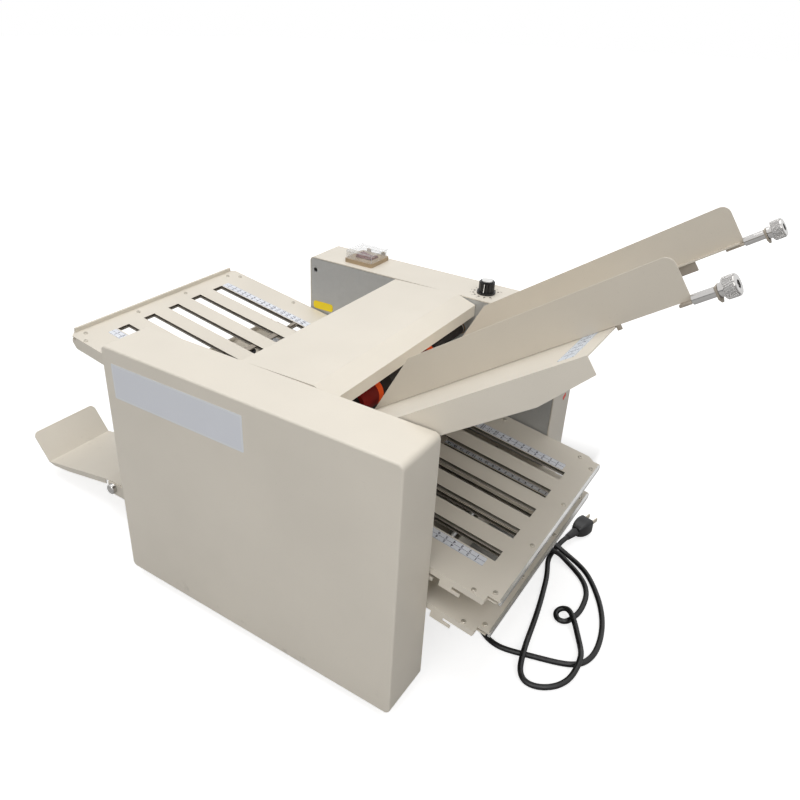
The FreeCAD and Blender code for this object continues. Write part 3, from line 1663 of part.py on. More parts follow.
def check_and_export():
    DOC.recompute()
    for thing in DOC.Objects:
        if "Invalid" in thing.State or "Error" in thing.State:
            raise RuntimeError(f"{thing.Name} failed: {thing.State}")
    os.makedirs("parts", exist_ok=True)
    for name, thing in NODES.items():
        shape = thing.Shape
        if shape.isNull() or not shape.isValid() or not shape.Solids:
            raise RuntimeError(f"{name} has no valid solid")
        shape.exportStep(f"parts/{name}.step")
    print(len(NODES), "sub-parts")


def build():
    housing_cover("near_cover", -1, False)
    housing_cover("far_cover", 1, True)
    make_side_plates()
    make_base_plate()
    make_feet()
    make_cross_bars()
    for number, outer_left, lip in PLATES:
        fold_plate(number, outer_left, lip)
        paper_stop(number, outer_left)
    make_rollers()
    make_bearings()
    make_drive()
    make_feed_table()
    for name, side in (("near", -1), ("far", 1)):
        side_guide(f"{name}_guide", side)
        guide_bracket(f"{name}_guide_bracket", side)
        guide_screw(f"{name}_guide_screw", side)
    make_top_cover()
    make_tray()
    make_tray_arm()
    make_tray_screw()
    make_chute()
    make_dial()
    make_switch()
    make_control_board()
    fixed("plate_pins", Part.makeCompound(make_hook_pins() + [idler_stud()]))
    make_cord()
    make_gland()
    make_plug()
    check_and_export()


build()
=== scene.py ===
import math

import bmesh
import bpy
from bpy.props import FloatProperty, FloatVectorProperty, IntProperty, PointerProperty
from mathutils import Euler, Matrix, Vector


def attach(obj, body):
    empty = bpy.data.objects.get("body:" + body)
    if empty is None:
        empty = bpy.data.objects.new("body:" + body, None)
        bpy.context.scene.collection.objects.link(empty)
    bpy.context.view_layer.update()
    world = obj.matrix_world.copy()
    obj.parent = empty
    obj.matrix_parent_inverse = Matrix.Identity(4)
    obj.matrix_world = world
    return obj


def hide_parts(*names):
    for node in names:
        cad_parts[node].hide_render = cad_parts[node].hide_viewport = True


bl_info = {
    "name": "Paper Folding Machine Dressing",
    "version": (1, 0, 0),
    "blender": (4, 5, 0),
    "location": "3D View > Sidebar > Folding Machine",
    "description": "Gives the folding machine its finishes, small parts, cord and studio",
    "category": "Object",
}

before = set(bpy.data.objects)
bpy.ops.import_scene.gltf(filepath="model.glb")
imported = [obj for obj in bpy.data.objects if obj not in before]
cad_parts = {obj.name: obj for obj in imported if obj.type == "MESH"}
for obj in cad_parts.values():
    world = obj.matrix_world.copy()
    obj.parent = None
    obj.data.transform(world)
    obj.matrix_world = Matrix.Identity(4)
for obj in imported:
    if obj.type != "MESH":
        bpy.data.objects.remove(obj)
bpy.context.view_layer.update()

# Machine coordinates measure x from the housings' left end, y from the middle plane between them and
# z from their lower edge, in millimetres. The row frame is in metres.
ORIGIN_X = 161
FOOT_HEIGHT = 14
HOUSING_TOP = 330
HOUSING_END = 411
HOUSING_FACE_Y = 231.15
SIDE_PLATE_Y = 163.15
PLATE_SLOPE = math.radians(8.8)
TABLE_SLOPE = math.radians(34.92)
TABLE_START = (285, 276)
# Outer end of each fold plate's upper face: x, z, and the way from there to the mouth.
PLATE_ENDS = {1: (-163, 272.2, 1), 2: (489.5, 149.1, -1), 3: (-75, 204, 1), 4: (482.5, 100, -1)}

# Screws in a row at each fold plate's outer end: distances from the end, and places across.
SCREW_ROWS = {1: (13,) * 4, 2: (9.6, 8.2, 7.2, 6.5), 3: (13,) * 4, 4: (9.2, 6.5, 4.5, 4.5)}
SCREW_ROW_Y = (-144, -51.5, 42, 136)
# Screws along a fold plate's sides: distance from the outer end, and place across.
SIDE_SCREWS = ((29, -156.5), (27, 150), (150, -156.5), (140, 150))

# Middle of a plate's ruler from the outer end. Then each ruler's side, place across, and how much
# further in it lies on the right-hand plates.
RULER_MIDDLE = 115
PLATE_RULERS = (("far", 112, 5), ("near", -113, 8))
TABLE_RULER = (0.3, 0.016)
TABLE_RULER_PLACE = 278
# Ticks of a ruler, in millimetres: pitch, length, thickness.
TICKS = ((1, 0.8, 0.26), (5, 1.0, 0.3), (10, 1.2, 0.4))
NUMBER_ROWS = (-0.0032, 0.0030)

# Side guides' brackets: side, place across the table, how far the rod reaches past the near one, and
# the lug's end and depth.
BRACKETS = (("near", -90, 0, 307.5, 4.5), ("far", 90, 7, 329, 10.5))
STRIP_ENDS = (361, 371.4)
STRIP_HALF = 5.6
STRIP_LEVELS = (-2.4, 0.3)
LUG_START = 303
LUG_TOP = 0.3
TAB_START = 391
TAB_HALF = 6
TAB_LEVELS = (-6, 5)
TAB_FOOT = 4
BRACKET_SHEET = 2
ROD_BORE = 0.00455

# Speed dial: centre on the housing, angle of its first mark and its sweep in degrees, and the reach of
# the marks and of their numbers in metres.
DIAL_CENTRE = (283.4, 192.2)
DIAL_FIRST = -45
DIAL_SWEEP = 270
MARK_REACH = 0.0175
NUMBER_REACH = 0.0218

# Zones that a finish tells apart, in metres. Across the machine, on the rollers and tyres:
ROLLER_SLEEVE = (-0.15945, 0.15945)
ROLLER_GEAR = (-0.1804, -0.1698)
# On the tyres, a ring painted as lit at its end, and the black sleeves:
TYRE_LIT_RINGS = ((-0.0682, -0.0587), (0.051, 0.0627))
TYRE_SLEEVES = ((-0.0587, -0.03), (0.0627, 0.08))
# On a fold plate's own axes: the slots' field, and the gap and the lower sheet seen through them.
SLOT_FIELD = ((0.026, 0.38), (-0.13, 0.13))
# Painted shade goes on the gap and, at about half, on the lower sheet.
SHEET_GAP = (-0.0034, -0.0004)
LOWER_SHEET = (-0.0059, -0.0034)
# Along a guide's rod, up the dial, behind the control board's parts, and inside the clear guard.
KNURL = (0.3985, 0.4068)
FLUTES = (0.002, 0.0168)
BOARD_PARTS_Y = 0.1779
GUARD_INSIDE = ((-0.1026, -0.0584), (0.1773, 0.2243), (0.3, 0.3606))

# Camera: place in machine coordinates, turn in degrees, and shift of its sensor.
CAMERA_PLACE = (686.6, -717.2, 716.1)
CAMERA_TURN = (61.6152, -1.5087, 34.2412)
CAMERA_SHIFT = (0.0449, -0.0236)
# Lamps: name, place in metres, turn in degrees, side of the square in metres, and power in watts.
LAMPS = (
    ("lamp_above", (-0.25, 0.15, 2.3), (-3, -6, 0), 2.2, 33.5),
    ("lamp_front", (0.3, -2.0, 1.6), (54.6, 0, 3), 1.2, 12),
    ("lamp_right", (1.6, -0.9, 1.9), (42.5, 0, 57.8), 1.0, 11),
)
ROOM_LIGHT = 0.16
WHITE = (1, 1, 1, 1)
WARM_WHITE = (1.0, 0.98, 0.955, 1)
# The floor brightens between two distances from the middle. The shade under the machine fades out over
# these spans.
FLOOR_RADIUS = 9
FLOOR_BRIGHTENS = (0.7, 2.0)
SHADE_RIGHT = (0.255, 0.272)
SHADE_LEFT = (-0.45, -0.4)
SHADE_FRONT = (-0.05, -0.02)
SHADE_BACK = (0.36, 0.5)

# Centre line of the cord in the row frame, in millimetres, from the gland to the plug. A point without a
# height lies on the floor.
CORD_ON_FLOOR = 3.55
CORD_POINTS = (
    (219, 144, 28), (234, 144, 27.9), (249, 144.3, 27.45), (264, 144.7, 26.15), (279, 145.2, 21.95),
    (295, 145.5, 14.35), (312, 144.5, 7.15), (329.5, 139.5, 3.95), (345, 129.5), (358, 115.5), (371, 98),
    (384, 77), (395.5, 51), (402.5, 23), (404.5, -3.5), (400, -23), (390, -35), (376, -42.2), (358, -48),
    (338, -53.8), (319, -59.8), (302, -62.5), (286, -58.5), (271, -48.5), (259, -34), (250, -15.5),
    (244.5, 5), (241.5, 28), (240.5, 52), (241.5, 76), (245.5, 98), (253.5, 114.5), (265.5, 126, 3.95),
    (276, 131.5, 8.55), (287.5, 134.8, 11.85), (302, 135.6, 11.85), (315.5, 131.5, 6.95),
    (331, 124.5, 3.85), (344, 114.5), (354.5, 102), (361.5, 86.5), (364, 69), (364.5, 51.5), (361, 36.5),
    (355.8, 24.2), (345.4, 22.4, 3.85), (339.2, 30.8, 5.35), (343.4, 40, 8.35), (353.8, 40.6, 11.55),
    (366, 25, 11.95), (377.5, 9, 6.15), (387.5, -7.5, 5.15), (393, -23.5, 11.75), (395.5, -40, 11.75),
    (394, -57.5, 5.95), (387.5, -72.5, 3.85), (376.5, -85), (363, -92.5), (350, -92.8, 3.85),
    (340.5, -84.5, 6.55), (335.8, -68.5, 11.75), (331.8, -49.5, 11.75), (327.6, -29, 5.55), (324, -7),
    (319.9, 17), (315, 42), (309.6, 66), (304.6, 87), (298.6, 105), (293.4, 118.5), (291.2, 131),
    (291.6, 143, 4.15), (293.6, 154, 7.75), (296.4, 165, 11.75), (299.2, 176, 11.75),
)
CORD_ROUTE = tuple(tuple(part / 1000 for part in (*point, CORD_ON_FLOOR)[:3]) for point in CORD_POINTS)


# ---------------- places


def at(across, deep, up):
    """Machine coordinates as a point of the row frame."""
    return Vector(((across - ORIGIN_X) / 1000, deep / 1000, (up + FOOT_HEIGHT) / 1000))


def placed(across, deep, up):
    """Machine coordinates as a matrix."""
    return Matrix.Translation(at(across, deep, up))


def turned(angle, axis):
    """A turn about an axis, as a matrix."""
    return Matrix.Rotation(angle, 4, axis)


def plate_seat(number, from_outer, deep):
    """A place on a fold plate's upper face with the plate's own axes, as a matrix."""
    outer_x, outer_z, way = PLATE_ENDS[number]
    run = from_outer * way
    across = outer_x + run * math.cos(PLATE_SLOPE)
    up = outer_z - run * math.sin(PLATE_SLOPE)
    return placed(across, deep, up) @ turned(PLATE_SLOPE, "Y")


def table_seat(along, deep):
    """A place on the feed table with the table's own axes, as a matrix."""
    across = TABLE_START[0] + along * math.cos(TABLE_SLOPE)
    up = TABLE_START[1] + along * math.sin(TABLE_SLOPE)
    return placed(across, deep, up) @ turned(-TABLE_SLOPE, "Y")


# ---------------- bench tools


def clear_bench():
    """Nothing is selected, in object mode."""
    if bpy.context.object and bpy.context.object.mode != "OBJECT":
        bpy.ops.object.mode_set(mode="OBJECT")
    bpy.ops.object.select_all(action="DESELECT")


def hold(*pieces):
    """Only these pieces are selected, and the first is active."""
    clear_bench()
    for piece in pieces:
        piece.select_set(True)
    bpy.context.view_layer.objects.active = pieces[0]


def named(name):
    """Names the piece that was just added, with its mesh."""
    piece = bpy.context.object
    piece.name = name
    piece.data.name = name
    return piece


def pick(kind, wanted):
    """In edit mode, selects the parts that a test picks by their place or normal."""
    data = bpy.context.object.data
    bpy.context.tool_settings.mesh_select_mode = (kind == "VERT", kind == "EDGE", kind == "FACE")
    bpy.ops.mesh.select_all(action="DESELECT")
    mesh = bmesh.from_edit_mesh(data)
    parts = {"VERT": mesh.verts, "EDGE": mesh.edges, "FACE": mesh.faces}[kind]
    found = [part for part in parts if wanted(part)]
    if not found:
        raise RuntimeError(f"{data.name}: nothing to pick")
    for part in found:
        part.select_set(True)
    mesh.select_flush_mode()
    bmesh.update_edit_mesh(data)


def edit():
    """Opens the active piece's mesh."""
    bpy.ops.object.mode_set(mode="EDIT")


def done():
    """Closes the mesh again."""
    bpy.ops.object.mode_set(mode="OBJECT")


def settle(piece):
    """Keeps a piece's place, turn and size in its mesh."""
    hold(piece)
    bpy.ops.object.transform_apply(location=True, rotation=True, scale=True)


def seat(piece, matrix):
    """Puts a piece that was made at the origin in its place."""
    piece.matrix_world = matrix @ piece.matrix_world
    settle(piece)


def sized(piece, size):
    """Gives a unit piece its size."""
    piece.scale = size
    settle(piece)


def apply_all(piece):
    """Applies a piece's modifiers."""
    hold(piece)
    for modifier in list(piece.modifiers):
        bpy.ops.object.modifier_apply(modifier=modifier.name)


def remove(piece):
    """Takes a pattern or a cutter off the bench."""
    bpy.data.objects.remove(piece, do_unlink=True)


def cut_away(piece, cutter):
    """Takes a cutter's shape out of a piece."""
    cut = piece.modifiers.new("cut", "BOOLEAN")
    cut.operation = "DIFFERENCE"
    cut.object = cutter
    cut.solver = "EXACT"
    apply_all(piece)
    remove(cutter)


def another(piece, name):
    """A copy with a mesh of its own."""
    copy = piece.copy()
    copy.data = piece.data.copy()
    copy.name = name
    bpy.context.collection.objects.link(copy)
    return copy


def joined(name, pieces):
    """Several pieces as one."""
    hold(*pieces)
    if len(pieces) > 1:
        bpy.ops.object.join()
    return named(name)


def fit(piece, body, finish):
    """Hands a finished piece to the body that carries it."""
    if finish is not None:
        piece.data.materials.clear()
        piece.data.materials.append(finish)
    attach(piece, body)
    return piece


def smooth(piece, degrees=35):
    """Shades a piece smooth across edges up to an angle."""
    hold(piece)
    bpy.ops.object.shade_smooth_by_angle(angle=math.radians(degrees))


# ---------------- nodes


def linear(red, green, blue):
    """A screen colour, 0 to 255, as a linear one."""
    return tuple(
        part / 255 / 12.92 if part / 255 <= 0.04045 else ((part / 255 + 0.055) / 1.055) ** 2.4
        for part in (red, green, blue)
    )


NYLON = linear(226, 224, 212)
SHAFT_STEEL = linear(196, 196, 194)
CHROME = linear(200, 198, 196)
DARK_SLEEVE = linear(30, 24, 21)
# Painted shade on the walls of the fold plates' slots and on the sheets seen through them.
SLOT_PAINTED_SHADE = linear(84, 74, 64)
GRIME = (0.16, 0.135, 0.11)


def new_finish(name, colour, roughness, metal=0.0):
    """A plain finish, with its node tree and its shader."""
    material = bpy.data.materials.new(name)
    material.use_nodes = True
    material.diffuse_color = (*colour, 1)
    tree = material.node_tree
    shader = tree.nodes["Principled BSDF"]
    for name, value in (("Base Color", (*colour, 1)), ("Roughness", roughness), ("Metallic", metal)):
        wire(shader, name, value)
    return material, tree, shader


def wire(node, name, source):
    """Sets a node's input to a number or colour, or links it."""
    if isinstance(source, bpy.types.NodeSocket):
        node.id_data.links.new(source, node.inputs[name])
    else:
        node.inputs[name].default_value = source


def paint(shader, body, roughness):
    """Gives a shader its colour and its roughness."""
    wire(shader, "Base Color", body)
    wire(shader, "Roughness", roughness)


def put_node(tree, kind, inputs, **settings):
    """Adds a node. Settings name its properties."""
    node = tree.nodes.new(kind)
    for name, value in settings.items():
        setattr(node, name, value)
    for name, source in inputs.items():
        wire(node, name, source)
    return node


def coordinates(tree, kind="Object"):
    """The piece's own coordinates, or its UV map."""
    for node in tree.nodes:
        if node.type == "TEX_COORD":
            return node.outputs[kind]
    return put_node(tree, "ShaderNodeTexCoord", {}).outputs[kind]


def moved(tree, vector, place=(0, 0, 0), turn=(0, 0, 0), size=(1, 1, 1)):
    """A vector that is scaled, turned and moved."""
    inputs = {"Vector": vector, "Location": place, "Rotation": turn, "Scale": size}
    return put_node(tree, "ShaderNodeMapping", inputs).outputs["Vector"]


def axis_of(tree, axis, vector=None):
    """One of a vector's three values."""
    return put_node(tree, "ShaderNodeSeparateXYZ", {0: vector or coordinates(tree)}).outputs[axis]


def noise(tree, scale, detail=2.0, rough=0.5, vector=None):
    """Cloudy noise about the middle between 0 and 1."""
    inputs = {"Vector": vector or coordinates(tree), "Scale": scale, "Detail": detail, "Roughness": rough}
    return put_node(tree, "ShaderNodeTexNoise", inputs).outputs["Fac"]


def math_node(tree, operation, first, second=0.0):
    """A sum, product or other result of two values."""
    return put_node(tree, "ShaderNodeMath", {0: first, 1: second}, operation=operation).outputs[0]


def times(tree, first, *others):
    """The product of several values."""
    for other in others:
        first = math_node(tree, "MULTIPLY", first, other)
    return first


def higher(tree, first, second):
    """The higher of two values."""
    return math_node(tree, "MAXIMUM", first, second)


def spread(tree, source, low, high, to_low=0.0, to_high=1.0):
    """Maps a span of a value onto another, with ends held."""
    inputs = {"Value": source, "From Min": low, "From Max": high, "To Min": to_low, "To Max": to_high}
    return put_node(tree, "ShaderNodeMapRange", inputs, clamp=True).outputs["Result"]


def uneven(tree, scale, detail, low=0.0, high=1.0, rough=0.5):
    """A value that varies softly between two others."""
    return spread(tree, noise(tree, scale, detail, rough), 0.3, 0.7, low, high)


def zone(tree, source, low, high):
    """1 where a value lies between two levels."""
    above = math_node(tree, "GREATER_THAN", source, low)
    below = math_node(tree, "LESS_THAN", source, high)
    return times(tree, above, below)


def blended(tree, share, first, second):
    """A colour between two, each a colour or a socket."""
    first, second = ((*colour, 1) if isinstance(colour, tuple) else colour for colour in (first, second))
    return put_node(tree, "ShaderNodeMix", {0: share, 6: first, 7: second}, data_type="RGBA").outputs[2]


def shade_of(colour, share):
    """A colour made darker or lighter."""
    return tuple(part * share for part in colour)


def shaded(tree, share, colour, dark, light):
    """A colour between two shades of one."""
    return blended(tree, share, shade_of(colour, dark), shade_of(colour, light))


def bump(shader, height, strength, distance):
    """Fine relief on a shader."""
    inputs = {"Strength": strength, "Distance": distance, "Height": height}
    wire(shader, "Normal", put_node(shader.id_data, "ShaderNodeBump", inputs).outputs["Normal"])


# ---------------- finishes


def between_sheets(tree, number):
    """Mask of painted shade between the two sheets of a fold plate and on the walls of its slots."""
    way = PLATE_ENDS[number][2]
    own = moved(tree, coordinates(tree), place=tuple(-plate_seat(number, 0, 0).translation))
    own = moved(tree, own, turn=(0, -PLATE_SLOPE, 0))
    run = times(tree, axis_of(tree, 0, own), way)
    slots = times(tree, zone(tree, run, *SLOT_FIELD[0]), zone(tree, axis_of(tree, 1, own), *SLOT_FIELD[1]))
    level = axis_of(tree, 2, own)
    lower = times(tree, zone(tree, level, *LOWER_SHEET), 0.55)
    return times(tree, slots, math_node(tree, "ADD", zone(tree, level, *SHEET_GAP), lower))


def powder_coat(name, colour, roughness=0.42, plate=None):
    """Baked powder paint: fine orange peel, faint clouds, handling marks and a few scuffs low down."""
    material, tree, shader = new_finish(name, colour, roughness)
    cloud = spread(tree, noise(tree, 7, 3, 0.55), 0.35, 0.65)
    body = shaded(tree, cloud, colour, 0.972, 1.018)
    fleck = spread(tree, noise(tree, 620, 1, 0.4), 0.70, 0.76, 0.0, 0.10)
    body = blended(tree, fleck, body, shade_of(colour, 0.55))
    grime = spread(tree, noise(tree, 46, 5, 0.72), 0.60, 0.74)
    low_band = spread(tree, axis_of(tree, 2), 0.014, 0.05, 0.45, 0.0)
    body = blended(tree, times(tree, grime, low_band), body, GRIME)
    # A fold plate's slots get painted shade on their walls and on the sheet seen through them.
    if plate:
        body = blended(tree, between_sheets(tree, plate), body, SLOT_PAINTED_SHADE)
    paint(shader, body, uneven(tree, 19, 4, roughness - 0.05, roughness + 0.07, 0.6))
    bump(shader, noise(tree, 950, 2, 0.5), 0.16, 0.00025)
    wire(shader, "Specular IOR Level", 0.42)
    return material


def plated_steel(name, colour, roughness=0.36, metal=0.85, grain=(1, 60, 1)):
    """Bright sheet or bar with a fine drawn grain and dull patches."""
    material, tree, shader = new_finish(name, colour, roughness, metal)
    streak = noise(tree, 30, 3, 0.6, moved(tree, coordinates(tree), size=grain))
    body = shaded(tree, uneven(tree, 24, 4, rough=0.6), colour, 0.88, 1.08)
    paint(shader, body, spread(tree, streak, 0.3, 0.7, roughness - 0.07, roughness + 0.09))
    bump(shader, streak, 0.08, 0.0002)
    return material


def zinc_sheet(name, colour):
    """Grey zinc plated sheet with a soft spangle."""
    material, tree, shader = new_finish(name, colour, 0.4, 0.55)
    spangle = put_node(tree, "ShaderNodeTexVoronoi", {"Vector": coordinates(tree), "Scale": 260})
    body = shaded(tree, spread(tree, spangle.outputs["Color"], 0.0, 1.0), colour, 0.98, 1.03)
    body = blended(tree, uneven(tree, 9, 4, 0.0, 0.35), body, shade_of(colour, 0.85))
    paint(shader, body, uneven(tree, 60, 4, 0.42, 0.58))
    bump(shader, noise(tree, 800, 2), 0.12, 0.0002)
    return material


def moulded(name, colour, roughness=0.4, grain=900, depth=0.12):
    """Injection moulded plastic or smooth rubber with a fine spark-eroded grain."""
    material, tree, shader = new_finish(name, colour, roughness)
    body = shaded(tree, uneven(tree, 35, 3), colour, 0.86, 1.12)
    paint(shader, body, uneven(tree, 80, 3, roughness - 0.06, roughness + 0.08))
    bump(shader, noise(tree, grain, 2), depth, 0.0002)
    return material


def roller_finish(name, rubber):
    """One roller: ground rubber between the side plates, turned steel ends and a nylon gear."""
    material, tree, shader = new_finish(name, rubber, 0.6)
    deep = axis_of(tree, 1)
    sleeve = zone(tree, deep, *ROLLER_SLEEVE)
    gear = zone(tree, deep, *ROLLER_GEAR)
    dust = spread(tree, noise(tree, 40, 4), 0.35, 0.75)
    body = blended(tree, sleeve, SHAFT_STEEL, shaded(tree, dust, rubber, 0.85, 1.35))
    soft = higher(tree, sleeve, gear)
    paint(shader, blended(tree, gear, body, NYLON), spread(tree, soft, 0, 1, 0.3, 0.62))
    wire(shader, "Metallic", spread(tree, soft, 0, 1, 0.95, 0.0))
    rings = moved(tree, coordinates(tree), size=(1, 900, 1))
    bump(shader, noise(tree, 1, 2, 0.5, rings), 0.18, 0.0003)
    return material


def tyre_finish(name, worn, lit_rubber, sleeve):
    """Soft feed rubber in painted shade, with an orange ring at its end painted as lit, then the black
    sleeve.
    """
    material, tree, shader = new_finish(name, worn, 0.62)
    wire(shader, "Specular IOR Level", 0.15)
    deep = axis_of(tree, 1)
    lint = spread(tree, noise(tree, 55, 5, 0.7), 0.45, 0.75, 0.0, 0.3)
    # The dark red body is painted shade over the running face, lightened by lint.
    body = blended(tree, lint, worn, shade_of(worn, 1.25))
    # Each ring is the orange rubber painted as lit; each sleeve is black.
    for spans, colour in ((TYRE_LIT_RINGS, lit_rubber), (TYRE_SLEEVES, sleeve)):
        near, far = (zone(tree, deep, *span) for span in spans)
        body = blended(tree, higher(tree, near, far), body, colour)
    paint(shader, body, spread(tree, lint, 0, 0.3, 0.55, 0.8))
    ground = moved(tree, coordinates(tree), size=(1, 0.02, 1))
    bump(shader, noise(tree, 1500, 2, 0.5, ground), 0.35, 0.0003)
    return material


def knurled_finish(name, steel, deep, reach):
    """Chrome rod whose knob carries a fine diamond knurl around the rod's own axis."""
    material, tree, shader = new_finish(name, steel, 0.12, 1.0)
    own = moved(tree, coordinates(tree), place=tuple(-table_seat(reach, deep).translation))
    own = moved(tree, own, turn=(0, TABLE_SLOPE, 0))
    along = axis_of(tree, 0, own)
    angle = math_node(tree, "ARCTAN2", axis_of(tree, 2, own), axis_of(tree, 1, own))
    grip = zone(tree, along, *KNURL)
    turns = times(tree, angle, 40)
    travel = times(tree, along, 3600)
    left = math_node(tree, "SINE", math_node(tree, "ADD", turns, travel))
    right = math_node(tree, "SINE", math_node(tree, "SUBTRACT", turns, travel))
    bump(shader, times(tree, higher(tree, left, right), grip), 1.0, 0.0005)
    wear = spread(tree, noise(tree, 160, 4), 0.35, 0.7, 0.08, 0.2)
    body = blended(tree, grip, steel, shade_of(steel, 0.9))
    paint(shader, body, math_node(tree, "ADD", wear, times(tree, grip, 0.14)))
    return material


def clear_finish(name, colour):
    """Clear moulded guard: faint walls, thicker edges paled by a painted highlight, and a haze of
    scratches.
    """
    material, tree, shader = new_finish(name, colour, 0.12)
    walls = 0.0
    for axis, span in enumerate(GUARD_INSIDE):
        inside = zone(tree, axis_of(tree, axis), *span)
        walls = math_node(tree, "ADD", walls, math_node(tree, "SUBTRACT", 1.0, inside))
    # Painted highlight: the guard's edges are made paler and less clear.
    rim = math_node(tree, "GREATER_THAN", walls, 1.5)
    haze = spread(tree, noise(tree, 70, 4, 0.7), 0.4, 0.75, 0.0, 0.06)
    wire(shader, "Alpha", math_node(tree, "ADD", spread(tree, rim, 0, 1, 0.15, 0.45), haze))
    wire(shader, "Roughness", spread(tree, haze, 0, 0.06, 0.1, 0.2))
    bump(shader, noise(tree, 120, 2), 0.05, 0.0002)
    return material


def fluted_finish(name, colour, centre):
    """Black knob moulding with upright flutes around its own axis."""
    material = moulded(name, colour, 0.34)
    tree = material.node_tree
    own = moved(tree, coordinates(tree), place=tuple(-centre))
    angle = math_node(tree, "ARCTAN2", axis_of(tree, 1, own), axis_of(tree, 0, own))
    ridge = math_node(tree, "SINE", times(tree, angle, 24))
    wall = zone(tree, axis_of(tree, 2, own), *FLUTES)
    bump(tree.nodes["Principled BSDF"], times(tree, ridge, wall), 0.8, 0.0006)
    return material


def board_finish(name, colour):
    """Circuit board: green laminate behind, dark parts standing in front."""
    material, tree, shader = new_finish(name, colour, 0.45)
    parts = math_node(tree, "GREATER_THAN", axis_of(tree, 1), BOARD_PARTS_Y)
    upright = moved(tree, coordinates(tree), turn=(math.pi / 2, 0, 0))
    tracks = put_node(tree, "ShaderNodeTexBrick", {"Vector": upright, "Scale": 90, "Mortar Size": 0.06})
    laminate = blended(tree, tracks.outputs["Fac"], colour, shade_of(colour, 1.7))
    wire(shader, "Base Color", blended(tree, parts, laminate, (0.05, 0.05, 0.055)))
    return material


def film_finish(name, colour, edge):
    """Printed film: a plain field with a paler border and slight wear."""
    material, tree, shader = new_finish(name, colour, 0.38)
    uv = coordinates(tree, "UV")
    across = zone(tree, axis_of(tree, 0, uv), 0.012, 0.988)
    up = zone(tree, axis_of(tree, 1, uv), 0.05, 0.95)
    body = blended(tree, times(tree, across, up), edge, colour)
    worn = spread(tree, noise(tree, 45, 5, 0.7), 0.55, 0.8, 0.0, 0.25)
    paint(shader, blended(tree, worn, body, shade_of(colour, 1.1)), uneven(tree, 90, 3, 0.3, 0.5))
    bump(shader, noise(tree, 300, 2), 0.05, 0.0002)
    return material


def scale_finish(name, field, ink, length, width):
    """Ruler film with a middle line, and a tick each millimetre along both edges."""
    material, tree, shader = new_finish(name, field, 0.4)
    uv = coordinates(tree, "UV")
    run = times(tree, axis_of(tree, 0, uv), length * 1000)
    middle = math_node(tree, "ABSOLUTE", math_node(tree, "SUBTRACT", axis_of(tree, 1, uv), 0.5))
    edge = times(tree, math_node(tree, "SUBTRACT", 0.5, middle), width * 1000)
    marks = math_node(tree, "LESS_THAN", middle, 0.016)
    for pitch, reach, thick in TICKS:
        phase = times(tree, math_node(tree, "FRACT", math_node(tree, "DIVIDE", run, pitch)), pitch)
        tick = times(tree, zone(tree, phase, 0.0, thick), math_node(tree, "LESS_THAN", edge, reach))
        marks = higher(tree, marks, tick)
    worn = shaded(tree, spread(tree, noise(tree, 60, 4), 0.35, 0.7), field, 0.94, 1.03)
    paint(shader, blended(tree, marks, worn, ink), uneven(tree, 120, 3, 0.32, 0.48))
    return material


# ---------------- what a user may change


class FoldingMachineSizes(bpy.types.PropertyGroup):
    cord_diameter: FloatProperty(
        name="Cord diameter", description="Thickness of the cord", default=0.007, unit="LENGTH", precision=4
    )
    screw_radius: FloatProperty(
        name="Screw radius", description="Radius of the heads", default=0.0029, unit="LENGTH", precision=4
    )
    screw_rise: FloatProperty(
        name="Screw height", description="Height of the heads", default=0.0014, unit="LENGTH", precision=4
    )
    ruler_width: FloatProperty(
        name="Ruler width", description="Width on the plates", default=0.014, unit="LENGTH", precision=4
    )
    ruler_length: FloatProperty(
        name="Ruler length", description="Length on the plates", default=0.17, unit="LENGTH", precision=4
    )
    film_thickness: FloatProperty(
        name="Film thickness", description="Labels and rulers", default=0.0003, unit="LENGTH", precision=5
    )
    figure_height: FloatProperty(
        name="Figure height", description="Numbers on rulers", default=0.004, unit="LENGTH", precision=4
    )
    dial_marks: IntProperty(name="Dial marks", description="Marks around the speed dial", default=11, min=2)
    lens: FloatProperty(
        name="Lens", description="Focal length", default=34.164, unit="CAMERA", subtype="DISTANCE_CAMERA"
    )


class FoldingMachineColours(bpy.types.PropertyGroup):
    coat: FloatVectorProperty(
        name="Coat", description="Housings' paint", subtype="COLOR", default=linear(231, 224, 211), max=1
    )
    guide_coat: FloatVectorProperty(
        name="Guide coat", description="Guide paint", subtype="COLOR", default=linear(216, 208, 194), max=1
    )
    side_steel: FloatVectorProperty(
        name="Side plates", description="Zinc coat", subtype="COLOR", default=linear(186, 187, 187), max=1
    )
    bright_steel: FloatVectorProperty(
        name="Bright steel", description="Shafts and bars", subtype="COLOR", default=SHAFT_STEEL, max=1
    )
    # Orange of the rubber, shown only on the tyre rings painted as lit.
    feed_rubber: FloatVectorProperty(
        name="Feed tyres", description="Fresh rubber", subtype="COLOR", default=linear(244, 92, 30), max=1
    )
    # Dark red painted shade over the tyres' running face.
    worn_rubber: FloatVectorProperty(
        name="Worn tyres", description="Running face", subtype="COLOR", default=linear(112, 16, 10), max=1
    )
    black: FloatVectorProperty(
        name="Black parts", description="Black plastic", subtype="COLOR", default=linear(26, 26, 28), max=1
    )
    label: FloatVectorProperty(
        name="Label", description="Bare front panel", subtype="COLOR", default=linear(228, 231, 238), max=1
    )
    sticker: FloatVectorProperty(
        name="Sticker", description="Plain sticker", subtype="COLOR", default=linear(255, 226, 28), max=1
    )
    floor: FloatVectorProperty(
        name="Floor", description="Studio floor", subtype="COLOR", default=(0.66, 0.66, 0.66), max=1
    )


def sizes():
    """The sizes as set in the panel."""
    return bpy.context.scene.folding_machine_sizes


def colour(name):
    """A colour as set in the panel."""
    return tuple(getattr(bpy.context.scene.folding_machine_colours, name))


def cad(node):
    """A node of the frame."""
    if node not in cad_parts:
        raise RuntimeError(f"the frame has no {node}")
    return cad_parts[node]


def coat_node(material, *nodes):
    """Gives nodes of the frame a finish."""
    for node in nodes:
        mesh = cad(node).data
        mesh.materials.clear()
        mesh.materials.append(material)


# ---------------- stage


